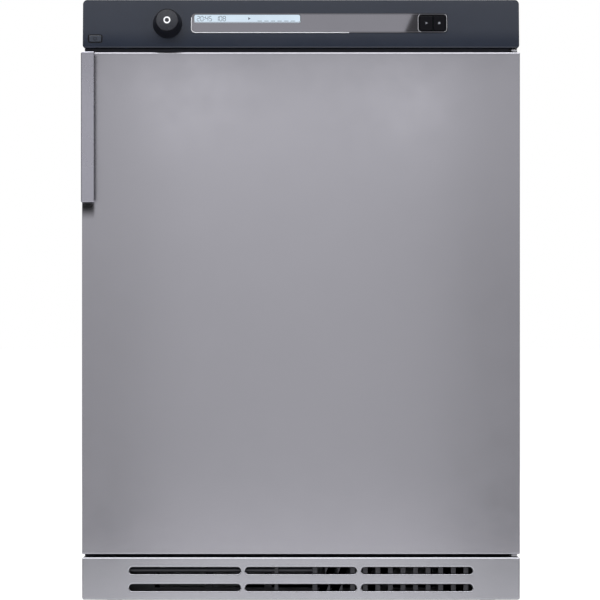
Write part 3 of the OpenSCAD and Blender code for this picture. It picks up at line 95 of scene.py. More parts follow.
def linear(tone: Colour) -> Colour:
    """Turns a display tone from 0 to 255 into linear light by the sRGB curve.

    Args:
        tone: red, green and blue from 0 to 255.

    Returns:
        The three values from 0 to 1.
    """
    c = np.asarray(tone, float) / 255
    low = c / 12.92
    high = ((c + 0.055) / 1.055) ** 2.4
    return tuple(float(v) for v in np.where(c <= 0.04045, low, high))


class Nodes:
    """The node tree of one material, or of the world, while it is put together."""

    def __init__(self, owner: str | bpy.types.World) -> None:
        """Starts an empty tree.

        Args:
            owner: the new material's name, or the world.
        """
        self.owner = bpy.data.materials.new(owner) if isinstance(owner, str) else owner
        self.owner.use_nodes = True
        self.tree = self.owner.node_tree
        self.tree.nodes.clear()

    def add(self, kind: str, sockets: dict | None = None, **settings: object) -> bpy.types.Node:
        """Adds one node, links what is a socket and sets what is a value.

        Args:
            kind: the node's type without its ShaderNode prefix.
            sockets: input name or number to a value or to another node's output.
            settings: properties of the node itself.

        Returns:
            The new node.
        """
        node = self.tree.nodes.new("ShaderNode" + kind)
        for key, value in settings.items():
            setattr(node, key, value)
        for key, value in (sockets or {}).items():
            if isinstance(value, Socket):
                self.tree.links.new(value, node.inputs[key])
            else:
                node.inputs[key].default_value = value
        return node

    def coords(self, scale: Colour = (1, 1, 1)) -> Socket:
        """Gives object coordinates in metres, stretched by a scale for each axis."""
        source = self.add("TexCoord").outputs["Object"]
        return self.add("Mapping", {"Vector": source, "Scale": scale}).outputs[0]

    def axis(self, number: int) -> Socket:
        """Gives one object coordinate in metres: 0 for X, 1 for Y and 2 for Z."""
        return self.add("SeparateXYZ", {0: self.coords()}).outputs[number]

    def cells(self, width: float) -> bpy.types.Node:
        """Adds a Voronoi pattern with cells of a width in millimetres."""
        return self.add("TexVoronoi", {"Vector": self.coords(), "Scale": 1 / (width * MM)})

    def noise(self, per_mm: float, detail: float = 2.0, stretch: Grain | None = None,
              rough: float = 0.5) -> Socket:
        """Gives soft noise from 0 to 1.

        Args:
            per_mm: grains to a millimetre.
            detail: octaves of finer noise.
            stretch: a direction in which the grains are drawn out.
            rough: share of the finer octaves.

        Returns:
            The noise's factor.
        """
        vector = self.coords(stretch.value if stretch else (1, 1, 1))
        node = self.add("TexNoise", {"Vector": vector, "Scale": per_mm / MM, "Detail": detail,
                                     "Roughness": rough})
        return node.outputs[0]

    def math(self, operation: str, a: object, b: object = 0.0) -> Socket:
        """Gives the result of one sum on two values or sockets."""
        return self.add("Math", {0: a, 1: b}, operation=operation).outputs[0]

    def between(self, value: Socket, low: float, high: float) -> Socket:
        """Maps the middle of a noise's range to a range of values."""
        sockets = {"Value": value, "From Min": 0.3, "From Max": 0.7, "To Min": low, "To Max": high}
        return self.add("MapRange", sockets).outputs[0]

    def step(self, value: Socket, start: float, end: float, low: float = 0.0,
             high: float = 1.0) -> Socket:
        """Gives a smooth step: low before start, high after end and a soft S between them."""
        sockets = {"Value": value, "From Min": start, "From Max": end, "To Min": low, "To Max": high}
        return self.add("MapRange", sockets, interpolation_type="SMOOTHSTEP").outputs[0]

    def steps(self, value: Socket, *rows: tuple[float, ...]) -> Socket:
        """Adds up smooth steps of one value, each given as start, end, low and high."""
        total = self.step(value, *rows[0])
        for row in rows[1:]:
            total = self.math("ADD", total, self.step(value, *row))
        return total

    def product(self, first: object, second: object) -> Socket:
        """Gives one value or socket times another."""
        return self.math("MULTIPLY", first, second)

    def blend(self, factor: object, first: Colour | Array, second: Colour | Array) -> Socket:
        """Mixes two linear colours by a factor."""
        node = self.add("Mix", {0: factor, 6: (*first, 1), 7: (*second, 1)}, data_type="RGBA")
        return node.outputs[2]

    def close(self, shader: bpy.types.Node, output: str = "OutputMaterial") -> bpy.types.ID:
        """Links a shader to the output and gives back the finished material or world."""
        self.add(output, {"Surface": shader.outputs[0]})
        return self.owner


@dataclass(frozen=True)
class Finish:
    """A surface with a soft change of tone, of gloss and of relief; the base of every finish.

    Attributes:
        name: the material's name.
        slot: the record's material slot; not used.
        tone: display colour from 0 to 255.
        rough: roughness at the middle of its range.
        metal: 1 for bare metal, 0 for plastic and paint.
        spread: share by which the tone changes over the surface.
        cloud: width of the tone's clouds in millimetres.
        sheen: strength of the plain reflection of a non-metal, 0.5 being usual.
        depth: height of the relief in millimetres.
        pitch: width of the relief's grains in millimetres.
        uneven: amount by which the roughness changes.
    """

    name: str
    slot: str
    tone: Colour
    rough: float = 0.5
    metal: float = 0.0
    spread: float = 0.06
    cloud: float = 60.0
    sheen: float = 0.5
    depth: float = 0.02
    pitch: float = 0.6
    uneven: float = 0.05

    @property
    def light(self) -> Array:
        """The tone in linear light."""
        return np.array(linear(self.tone))

    def height(self, nodes: Nodes) -> Socket:
        """Gives the relief from 0 to 1: a fine even grain, as spark-eroded moulds leave."""
        return nodes.noise(1 / self.pitch, 3.0)

    def normal(self, nodes: Nodes) -> Socket:
        """Gives the surface's direction with the relief on it."""
        sockets = {"Strength": 1.0, "Distance": self.depth * MM, "Height": self.height(nodes)}
        return nodes.add("Bump", sockets).outputs[0]

    def colour(self, nodes: Nodes) -> Socket:
        """Gives the tone, darker and lighter in soft clouds."""
        cloud = nodes.between(nodes.noise(1 / self.cloud, 4.0, rough=0.6), 0.0, 1.0)
        return nodes.blend(cloud, self.light * (1 - self.spread), self.light * (1 + self.spread))

    def extras(self) -> dict:
        """Gives further fixed sockets of the shader."""
        return {}

    def shader(self, nodes: Nodes) -> bpy.types.Node:
        """Gives the shader, with a gloss that changes in soft patches."""
        gloss = nodes.between(nodes.noise(1 / GLOSS_PATCH, 3.0), self.rough - self.uneven,
                              self.rough + self.uneven)
        sockets = {"Base Color": self.colour(nodes), "Roughness": gloss, "Metallic": self.metal,
                   "Specular IOR Level": self.sheen, "Normal": self.normal(nodes), **self.extras()}
        return nodes.add("BsdfPrincipled", sockets)

    def material(self) -> Material:
        """Builds the material, or gives back the one already built."""
        name = "finish_" + self.name
        known = bpy.data.materials.get(name)
        if known:
            return known
        nodes = Nodes(name)
        return nodes.close(self.shader(nodes))


@dataclass(frozen=True)
class Brushed(Finish):
    """Satin sheet metal with fine strokes in one direction, its grain."""

    grain: Grain = Grain.ACROSS
    metal: float = 1.0
    spread: float = 0.015
    cloud: float = 300.0
    depth: float = 0.0012
    pitch: float = 0.35
    uneven: float = 0.02

    def height(self, nodes: Nodes) -> Socket:
        """Gives strokes: noise drawn out along the grain, with finer strokes over it."""
        coarse = nodes.noise(1 / self.pitch, 2.0, self.grain)
        fine = nodes.noise(3 / self.pitch, 1.0, self.grain)
        return nodes.math("ADD", nodes.product(coarse, 0.6), nodes.product(fine, 0.4))


@dataclass(frozen=True)
class Turned(Finish):
    """Metal turned or spun about an axis along Y, with fine rings; centre is the axis in X and Z."""

    centre: Pair = (0.0, 498.9)
    metal: float = 1.0
    depth: float = 0.004
    pitch: float = 0.8

    def height(self, nodes: Nodes) -> Socket:
        """Gives rings: noise along the distance from the axis, the root of x squared plus z squared."""
        vector = nodes.add("Mapping", {"Vector": nodes.coords(), "Scale": (1, 0, 1), "Location":
                                       (-self.centre[0] * MM, 0, -self.centre[1] * MM)}).outputs[0]
        reach = nodes.add("VectorMath", {0: vector}, operation="LENGTH").outputs["Value"]
        rings = nodes.add("TexNoise", {"W": reach, "Scale": 1 / (self.pitch * MM), "Detail": 3.0},
                          noise_dimensions="1D")
        return rings.outputs[0]


@dataclass(frozen=True)
class Coated(Finish):
    """Stoved paint with the slight ripple of a sprayed sheet."""

    depth: float = 0.012
    pitch: float = 2.2
    spread: float = 0.02
    cloud: float = 200.0


@dataclass(frozen=True)
class Crowned(Finish):
    """Moulded plastic whose face rolls back a little towards its lower edge.

    Attributes:
        start: level at which the roll begins, in millimetres.
        run: height of the roll.
        turn: angle of the face at the end of the roll, in radians.
        brow: level above which the rounded top edge is blunted.
        flat: how strongly, in radians per millimetre.
    """

    start: float = 809.0
    run: float = 22.0
    turn: float = 0.06
    brow: float = 847.3
    flat: float = 1.1

    def normal(self, nodes: Nodes) -> Socket:
        """Adds the roll: minus turn / (2 * run) times the square of the way below its start.

        The rounding at the top is blunted: flat / 2 times the square of the way above the brow is added.
        """
        level = nodes.axis(2)
        ways = ((self.start, -1, -self.turn / self.run), (self.brow, 1, self.flat))
        total = 0.0
        for limit, way, bend in ways:
            past = nodes.product(nodes.math("SUBTRACT", level, limit * MM), way)
            past = nodes.math("MAXIMUM", past, 0.0)
            square = nodes.product(nodes.product(past, past), bend / (2 * MM))
            total = nodes.math("ADD", square, total)
        sockets = {"Strength": 1.0, "Distance": 1.0, "Height": total, "Normal": super().normal(nodes)}
        return nodes.add("Bump", sockets).outputs[0]


@dataclass(frozen=True)
class Galvanised(Finish):
    """Zinc coated sheet with its pattern of flat crystals; crystal is their width."""

    metal: float = 0.85
    depth: float = 0.002
    pitch: float = 0.8
    crystal: float = 9.0

    def colour(self, nodes: Nodes) -> Socket:
        """Gives each crystal its own tone: the cell colour of a Voronoi pattern."""
        cells = nodes.cells(self.crystal)
        value = nodes.add("SeparateColor", {"Color": cells.outputs["Color"]}).outputs[0]
        return nodes.blend(value, self.light * 0.9, self.light * 1.12)


@dataclass(frozen=True)
class Cast(Finish):
    """Die-cast alloy with a sandy skin."""

    metal: float = 0.9
    depth: float = 0.05
    pitch: float = 0.9

    def height(self, nodes: Nodes) -> Socket:
        """Gives sand: the distance to the nearest point of a fine Voronoi pattern."""
        return nodes.cells(self.pitch).outputs["Distance"]


@dataclass(frozen=True)
class Felted(Finish):
    """Pressed felt: matt, mottled and fibrous."""

    rough: float = 0.95
    spread: float = 0.16
    cloud: float = 4.0
    depth: float = 0.35
    pitch: float = 0.7
    sheen: float = 0.1

    def extras(self) -> dict:
        """Adds the soft edge light of loose fibres."""
        return {"Sheen Weight": 0.35, "Sheen Roughness": 0.5}


@dataclass(frozen=True)
class Woven(Finish):
    """Fine woven mesh in the X-Z plane, with open squares between its threads; thread is their width."""

    thread: float = 0.9

    def threads(self, nodes: Nodes) -> Socket:
        """Gives 1 on threads: the larger of two waves, one across and one up."""
        waves = []
        for direction in ("X", "Z"):
            wave = nodes.add("TexWave", {"Vector": nodes.coords(), "Scale": 0.32 / (self.thread * MM),
                                         "Distortion": 0.0}, bands_direction=direction)
            waves.append(wave.outputs["Fac"])
        return nodes.math("MAXIMUM", waves[0], waves[1])

    def height(self, nodes: Nodes) -> Socket:
        """Gives the raised threads."""
        return self.threads(nodes)

    def colour(self, nodes: Nodes) -> Socket:
        """Gives pale threads with dark squares between them."""
        return nodes.blend(self.threads(nodes), self.light * 0.25, self.light)


@dataclass(frozen=True)
class Board(Finish):
    """Circuit board lacquer with faint copper tracks below it."""

    def colour(self, nodes: Nodes) -> Socket:
        """Gives straight tracks: a brick pattern seen faintly through the lacquer."""
        first, second, track = ((*(self.light * share), 1) for share in (1.0, 1.15, 1.9))
        bricks = nodes.add("TexBrick", {"Vector": nodes.coords(), "Scale": 80.0, "Mortar Size": 0.03,
                                        "Color1": first, "Color2": second, "Mortar": track})
        return bricks.outputs["Color"]


@dataclass(frozen=True)
class Glass(Finish):
    """Clear moulded glass with upright flutes."""

    def height(self, nodes: Nodes) -> Socket:
        """Gives flutes: one wave across."""
        wave = nodes.add("TexWave", {"Vector": nodes.coords(), "Scale": 120.0}, bands_direction="X")
        return wave.outputs["Fac"]

    def extras(self) -> dict:
        """Lets light through."""
        return {"Transmission Weight": 0.9, "IOR": 1.49}


@dataclass(frozen=True)
class Lit(Finish):
    """A backlit display under clear plastic; glow is the strength of its light."""

    glow: float = 0.75

    def shader(self, nodes: Nodes) -> bpy.types.Node:
        """Gives a shader that glows; its light changes in soft clouds."""
        unlit = (0.02, 0.025, 0.03, 1)
        sockets = {"Base Color": unlit, "Roughness": self.rough, "Emission Color": self.colour(nodes),
                   "Emission Strength": self.glow, "Specular IOR Level": self.sheen}
        return nodes.add("BsdfPrincipled", sockets)


class Paints:
    """Every finish of the dryer, by the piece it is made for."""

    door = Brushed("door_steel", "steel_door", (155, 154, 161), rough=0.21)
    plinth = Brushed("plinth_steel", "steel_plinth", (155, 155, 161), rough=0.22)
    handle = Coated("handle_metal", "handle_metal", (158, 157, 167), rough=0.26, metal=1.0, depth=0.002)
    side = Coated("side_paint", "cabinet_paint", (165, 166, 170), rough=0.42, metal=0.25)
    top = Coated("top_paint", "top_paint", (160, 161, 166), rough=0.4, metal=0.2)
    front = Coated("front_frame_paint", "frame_paint", (44, 45, 54), rough=0.5, sheen=0.15)
    panel = Crowned("panel_plastic", "panel_plastic", (22, 29, 43), rough=0.24, depth=0.0012, pitch=0.5,
                    spread=0.03, uneven=0.02)
    trim = Finish("trim_mirror", "trim_metal", (132, 131, 138), rough=0.03, metal=1.0, depth=0.0002,
                  pitch=4.0, spread=0.015, uneven=0.01)
    # Pale beads along the trim's edges: real beads, their colour a painted highlight.
    rim = Finish("rim_light", "trim_metal", (214, 215, 220), rough=0.35, depth=0.001, uneven=0.02,
                 sheen=0.3)
    # Darker metal for the rims round the window and the strip: painted shade along those edges.
    lip = Finish("rim_smoked", "trim_metal", (92, 92, 97), rough=0.3, metal=1.0, depth=0.0004,
                 spread=0.01, uneven=0.02)
    border = Finish("block_border", "trim_metal", (48, 48, 54), rough=0.5, depth=0.002, sheen=0.2)
    # A dark strip in the gap between the panel and the door: painted shade.
    lip_seal = Finish("lip_seal", "panel_plastic", (17, 18, 25), rough=0.6, depth=0.004, sheen=0.2)
    # Flat dark rings in the gaps round the strip, the power button and the knob's face: painted shade.
    gap = Finish("shadow_gap", "panel_plastic", (12, 12, 16), rough=0.7, depth=0.001, sheen=0.1)
    window = Lit("display_glow", "window_plastic", (205, 222, 236), rough=0.15, spread=0.05, cloud=40.0,
                 glow=0.98)
    ink = Finish("display_ink", "window_plastic", (70, 82, 96), rough=0.4, depth=0.001, spread=0.02)
    bezel = Finish("bezel_black", "bezel_plastic", (5, 5, 8), rough=0.15, depth=0.001, uneven=0.03,
                   sheen=0.04)
    key = Finish("key_black", "key_plastic", (9, 9, 14), rough=0.25, depth=0.002, uneven=0.04, sheen=0.08)
    mark = Finish("mark_grey", "key_plastic", (118, 120, 128), rough=0.5, depth=0.002, sheen=0.2)
    ring = Finish("mark_white", "knob_plastic", (226, 227, 232), rough=0.5, depth=0.002, sheen=0.2)
    power = Finish("power_plastic", "power_plastic", (34, 40, 52), rough=0.25, depth=0.002)
    dim = Finish("mark_dark", "power_plastic", (22, 24, 30), rough=0.6, depth=0.002, sheen=0.1)
    knob = Finish("knob_side", "knob_plastic", (23, 24, 31), rough=0.3, depth=0.003, sheen=0.05)
    knob_face = Finish("knob_face", "knob_plastic", (28, 30, 38), rough=0.28, depth=0.002)
    grille = Finish("grille_plastic", "grille_plastic", (40, 40, 46), rough=0.4, depth=0.01, sheen=0.4)
    base = Finish("base_plastic", "base_plastic", (52, 52, 56), rough=0.62, depth=0.05, pitch=1.1)
    board = Board("control_board_lacquer", "board", (20, 92, 58), rough=0.32)
    encoder = Finish("encoder_plastic", "encoder_plastic", (60, 68, 72), rough=0.5)
    zinc = Galvanised("zinc_plate", "zinc", (186, 188, 192), rough=0.34, metal=1.0, crystal=3.0)
    hinge = Coated("hinge_arm", "hinge_steel", (34, 34, 37), rough=0.45, sheen=0.3)
    cap = Finish("hinge_cap", "hinge_steel", (205, 205, 210), rough=0.45)
    liner = Finish("liner_plastic", "liner_plastic", (200, 200, 204), rough=0.42, depth=0.02)
    bulkhead = Finish("bulkhead_plastic", "bulkhead_plastic", (92, 92, 98), rough=0.6, depth=0.05,
                      pitch=1.0)
    catch = Finish("catch_plastic", "catch_plastic", (46, 46, 50), rough=0.5)
    felt = Felted("felt_ring", "felt", (196, 194, 186))
    bearing = Finish("bearing_plastic", "bearing_plastic", (50, 50, 54), rough=0.5)
    sheet = Galvanised("galvanised_sheet", "galvanised", (176, 180, 184), rough=0.38)
    heater = Turned("heater_tube", "heater_steel", (104, 100, 98), rough=0.45, spread=0.12, cloud=30.0)
    sensor = Finish("sensor_plastic", "sensor_plastic", (34, 34, 36), rough=0.45)
    motor = Cast("motor_casting", "motor_alloy", (160, 162, 166), rough=0.48)
    bracket = Galvanised("bracket_sheet", "bracket_steel", (172, 174, 178), rough=0.4, crystal=6.0)
    can = Turned("capacitor_can", "capacitor_can", (190, 192, 196), rough=0.3)
    duct = Finish("duct_plastic", "duct_plastic", (112, 114, 118), rough=0.55, depth=0.04, pitch=1.0)
    spigot = Finish("spigot_plastic", "spigot_plastic", (150, 152, 156), rough=0.5, depth=0.03, pitch=0.9)
    box = Finish("terminal_plastic", "box_plastic", (52, 52, 56), rough=0.55, depth=0.04, pitch=0.9)
    ceramic = Finish("lamp_ceramic", "lamp_ceramic", (222, 218, 204), rough=0.25, depth=0.01)
    glass = Glass("lamp_lens", "lens_glass", (235, 240, 242), rough=0.08, depth=0.4)
    belt = Finish("belt_rubber", "belt_rubber", (24, 24, 25), rough=0.7, depth=0.05, pitch=0.5)
    axle = Turned("turned_steel", "axle_steel", (184, 184, 188), rough=0.28)
    cable = Finish("cable_jacket", "cable", (30, 30, 32), rough=0.55, depth=0.02)
    drum = Brushed("drum_steel", "drum_steel", (190, 190, 195), rough=0.3, grain=Grain.DEEP)
    wall = Turned("drum_rear_steel", "drum_steel", (190, 190, 195), rough=0.3)
    lifter = Finish("lifter_plastic", "lifter_plastic", (190, 192, 196), rough=0.42)
    rotor = Turned("rotor_steel", "rotor_steel", (176, 176, 180), rough=0.35)
    fan = Finish("fan_plastic", "fan_plastic", (180, 182, 186), rough=0.5)
    pulley = Finish("pulley_plastic", "pulley_plastic", (64, 64, 68), rough=0.5)
    roller = Finish("roller_rubber", "roller_rubber", (38, 38, 40), rough=0.75, depth=0.05, pitch=0.8)
    foot = Finish("foot_plastic", "foot_plastic", (36, 36, 38), rough=0.6, depth=0.04, pitch=0.8)
    stem = Galvanised("foot_stem", "foot_plastic", (150, 152, 156), rough=0.36, metal=1.0, crystal=3.0)
    seal = Finish("seal_rubber", "seal_rubber", (58, 58, 62), rough=0.8, depth=0.04, pitch=0.8)
    filter = Finish("filter_plastic", "filter_plastic", (84, 86, 92), rough=0.5)
    mesh = Woven("filter_weave", "mesh_fabric", (200, 204, 204), rough=0.7, depth=0.15)


@dataclass(frozen=True)
class Place:
    """A flat place in the machine with its own axes: across, up and out of the surface."""

    origin: Colour
    across: Colour = (1.0, 0.0, 0.0)
    up: Colour = (0.0, 0.0, 1.0)
    out: Colour = (0.0, -1.0, 0.0)

    def at(self, x: Array | float, v: Array | float, d: Array | float) -> Array:
        """Gives points: the origin plus x times across, v times up and d times out.

        Args:
            x: distances across.
            v: distances up.
            d: distances out of the surface.

        Returns:
            The points, with a last axis of 3.
        """
        x, v, d = np.broadcast_arrays(np.asarray(x, float), v, d)
        axes = np.array([self.across, self.up, self.out])
        return np.array(self.origin) + np.stack([x, v, d], axis=-1) @ axes

    def rings(self, centre: Pair, turn: Array, rows: tuple[Pair, ...]) -> Array:
        """Gives a ring of points round a centre for each radius and distance out of the surface."""
        return np.array([self.at(centre[0] + r * np.cos(turn), centre[1] + r * np.sin(turn), d)
                         for r, d in rows])


LEAN = math.radians(8)
PANEL = Place((0.0, -295.0, 783.6 + 2 * (1 + math.sin(LEAN))), up=(0.0, math.sin(LEAN), math.cos(LEAN)),
              out=(0.0, -math.cos(LEAN), math.sin(LEAN)))
DOOR = Place((0.0, -296.0, 0.0))
REAR = Place((0.0, 251.0, 0.0), across=(-1.0, 0.0, 0.0), out=(0.0, 1.0, 0.0))


def outline(w: float, h: float, r: float, steps: int = 6) -> Array:
    """Gives a rounded rectangle round the origin.

    Each corner is an arc: its centre plus r times the cosine and sine of the angle.

    Args:
        w: width.
        h: height.
        r: radius of the corners.
        steps: pieces of each corner.

    Returns:
        The loop's points, 4 times (steps + 1) by 2.
    """
    r = max(r, 0.0)
    turn = np.radians(np.linspace(0, 90, steps + 1))
    loops = []
    for quarter, (sx, sz) in enumerate([(1, 1), (-1, 1), (-1, -1), (1, -1)]):
        a = turn + quarter * math.pi / 2
        loops.append(np.stack([sx * (w / 2 - r) + r * np.cos(a), sz * (h / 2 - r) + r * np.sin(a)], -1))
    return np.concatenate(loops)


def grown(size: Pair, more: float) -> Pair:
    """Gives a width and a height with the same length added to both."""
    return size[0] + more, size[1] + more


def lathe(profile: list[Pair], centre: Colour, axis: Colour = (0, 1, 0), steps: int = 96) -> Array:
    """Turns a profile about an axis.

    A point of radius r and distance h goes round as centre + h * axis + r * (cos t * side + sin t * top).

    Args:
        profile: radius and distance along the axis of each point.
        centre: a point on the axis.
        axis: the axis, one unit long.
        steps: pieces of the full turn.

    Returns:
        A grid of points, profile by steps.
    """
    n = np.array(axis, float)
    side = np.array([1.0, 0.0, 0.0]) if abs(n[0]) < 0.9 else np.array([0.0, 0.0, 1.0])
    side = side - n * (side @ n)
    side /= np.linalg.norm(side)
    top = np.cross(n, side)
    t = np.linspace(0, WHOLE_TURN, steps, endpoint=False)
    round_it = np.cos(t)[:, None] * side + np.sin(t)[:, None] * top
    r, h = np.array(profile, float).T
    return np.array(centre) + h[:, None, None] * n + r[:, None, None] * round_it


def fillet(inset: float, depth: float, r: float, steps: int = 4) -> list[Pair]:
    """Gives a quarter round as pairs of inset and depth, from the side wall to the face.

    The inset grows as r * (1 - cos a) and the depth as r * sin a while a goes from 0 to 90 degrees.

    Args:
        inset: inset at the side wall.
        depth: depth of the face.
        r: radius of the round.
        steps: pieces of the round.

    Returns:
        The pairs, steps + 1 of them.
    """
    turn = np.radians(np.linspace(0, 90, steps + 1))
    return [(inset + r * (1 - math.cos(a)), depth - r + r * math.sin(a)) for a in turn]


class Surface:
    """A mesh put together from grids of points in millimetres."""

    def __init__(self) -> None:
        """Starts with no points."""
        self._points: list[Array] = []
        self._faces: list[Array] = []
        self._count = 0

    def grid(self, points: Array, wrap: bool = False) -> "Surface":
        """Adds one quad between each four neighbours of a grid.

        Args:
            points: rows by columns by 3.
            wrap: joins the last column to the first.

        Returns:
            The surface itself.
        """
        rows, cols = points.shape[:2]
        index = self._count + np.arange(rows * cols).reshape(rows, cols)
        if wrap:
            index = np.concatenate([index, index[:, :1]], axis=1)
        quads = np.stack([index[:-1, :-1], index[:-1, 1:], index[1:, 1:], index[1:, :-1]], axis=-1)
        self._points.append(points.reshape(-1, 3))
        self._faces.append(quads.reshape(-1, 4))
        self._count += rows * cols
        return self

    def cap(self, loop: Array) -> "Surface":
        """Closes a loop with a fan to its middle."""
        middle = np.broadcast_to(loop.mean(axis=0), loop.shape)
        return self.grid(np.stack([loop, middle]), wrap=True)

    def solid(self, rows: Array) -> "Surface":
        """Adds a closed body from loops in a row, with a cap at both ends."""
        return self.grid(rows, wrap=True).cap(rows[0]).cap(rows[-1])

    def slab(self, place: Place, centre: Pair, size: Pair, r: float, back: float, front: float,
             edge: float, steps: int = 6) -> "Surface":
        """Adds a rounded block whose front edge is rounded.

        The loops are rounded rectangles, each smaller by twice its inset, from the back to the face.

        Args:
            place: the surface it stands on.
            centre: its middle, across and up.
            size: width and height.
            r: radius of the corners.
            back: distance of its back out of the surface.
            front: distance of its face out of the surface.
            edge: radius of the front edge.
            steps: pieces of each corner.

        Returns:
            The surface itself.
        """
        return self.solid(self.loops(place, centre, size, r, [(0.0, back), *fillet(0.0, front, edge)], steps))

    def ring(self, place: Place, centre: Pair, size: Pair, r: float, section: list[Pair],
             steps: int = 8) -> "Surface":
        """Adds a closed moulding that follows a rounded rectangle.

        Args:
            place: the surface it lies on.
            centre: the rectangle's middle.
            size: the rectangle's width and height.
            r: radius of its corners.
            section: the moulding's closed section as pairs of inset and height.
            steps: pieces of each corner.

        Returns:
            The surface itself.
        """
        return self.grid(self.loops(place, centre, size, r, [*section, section[0]], steps), wrap=True)

    @staticmethod
    def loops(place: Place, centre: Pair, size: Pair, r: float, section: list[Pair], steps: int) -> Array:
        """Gives a rounded rectangle for each pair of inset and distance out of a place's surface."""
        return np.array([Surface.loop(place, centre, (size[0] - 2 * i, size[1] - 2 * i), r - i, d, steps)
                         for i, d in section])

    @staticmethod
    def loop(place: Place, centre: Pair, size: Pair, r: float, d: float, steps: int = 6) -> Array:
        """Gives a rounded rectangle's points at a distance out of a place's surface."""
        flat = outline(size[0], size[1], r, steps)
        return place.at(centre[0] + flat[:, 0], centre[1] + flat[:, 1], d)

    def make(self, name: str, body: str, finish: Finish, replaces: tuple[str, ...] = (),
             wall: float = 0.0, smooth: float = 35.0) -> Object:
        """Makes the object: doubles are merged, then faces are turned outwards.

        Args:
            name: the piece's name.
            body: the body that it rides on.
            finish: its surface.
            replaces: CAD nodes that it stands for.
            wall: thickness of an open sheet, put on inwards.
            smooth: angle up to which edges are shaded smooth.

        Returns:
            The new object.
        """
        mesh = bpy.data.meshes.new(name)
        points = np.concatenate(self._points) * MM
        mesh.from_pydata(points.tolist(), [], np.concatenate(self._faces).tolist())
        tidy_mesh(mesh, smooth)
        piece = bpy.data.objects.new(name, mesh)
        if wall:
            solidify = piece.modifiers.new("wall", "SOLIDIFY")
            solidify.thickness = wall * MM
            solidify.offset = -1
        return settle(piece, body, finish, replaces)


def tidy_mesh(mesh: bpy.types.Mesh, smooth: float) -> None:
    """Merges doubles, turns faces outwards and marks edges sharper than an angle."""
    work = bmesh.new()
    work.from_mesh(mesh)
    bmesh.ops.remove_doubles(work, verts=work.verts, dist=2e-6)
    bmesh.ops.recalc_face_normals(work, faces=work.faces)
    work.to_mesh(mesh)
    work.free()
    mesh.shade_smooth()
    mesh.set_sharp_from_angle(angle=math.radians(smooth))


def settle(piece: Object, body: str, finish: Finish, replaces: tuple[str, ...] = ()) -> Object:
    """Links a new piece, gives it its finish and lets it ride on its body.

    Args:
        piece: the object.
        body: the body's name.
        finish: its surface.
        replaces: CAD nodes that it stands for.

    Returns:
        The piece.
    """
    bpy.context.scene.collection.objects.link(piece)
    weighted = piece.modifiers.new("faces", "WEIGHTED_NORMAL")
    weighted.keep_sharp = True
    piece.data.materials.clear()
    piece.data.materials.append(finish.material())
    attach(piece, body)
    if replaces:
        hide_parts(*replaces)
    log.info("%s on %s: %d faces", piece.name, body, len(piece.data.polygons))
    return piece


def dress(node: str, finish: Finish) -> None:
    """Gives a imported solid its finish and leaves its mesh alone."""
    piece = frame["nodes"][node]
    if not piece.material_slots:
        piece.data.materials.append(None)
    for place in piece.material_slots:
        place.link = "OBJECT"
        place.material = finish.material()
    log.info("%s dressed with %s", node, finish.name)


def softened(node: str, finish: Finish, edge: float = 0.4, steps: int = 2, angle: float = 35.0) -> Object:
    """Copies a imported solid, merges its triangles and rounds its sharp edges.

    Args:
        node: the solid that the copy stands for.
        finish: its surface.
        edge: radius of the rounded edges in millimetres, or 0 for none.
        steps: pieces of each round.
        angle: edges sharper than this are rounded.

    Returns:
        The copy.
    """
    source = frame["nodes"][node]
    mesh = source.data.copy()
    mesh.name = node + "_form"
    for spare in ("custom_normal", "sharp_face", "sharp_edge"):
        if spare in mesh.attributes:
            mesh.attributes.remove(mesh.attributes[spare])
    work = bmesh.new()
    work.from_mesh(mesh)
    bmesh.ops.remove_doubles(work, verts=work.verts, dist=1e-6)
    bmesh.ops.dissolve_limit(work, angle_limit=math.radians(0.6), verts=work.verts, edges=work.edges)
    work.to_mesh(mesh)
    work.free()
    mesh.shade_smooth()
    mesh.set_sharp_from_angle(angle=math.radians(angle))
    piece = bpy.data.objects.new(node + "_form", mesh)
    if edge:
        bevel = piece.modifiers.new("edges", "BEVEL")
        bevel.width = edge * MM
        bevel.segments = steps
        bevel.limit_method = "ANGLE"
        bevel.angle_limit = math.radians(angle)
        bevel.miter_outer = "MITER_ARC"
    return settle(piece, source["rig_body"], finish, (node,))


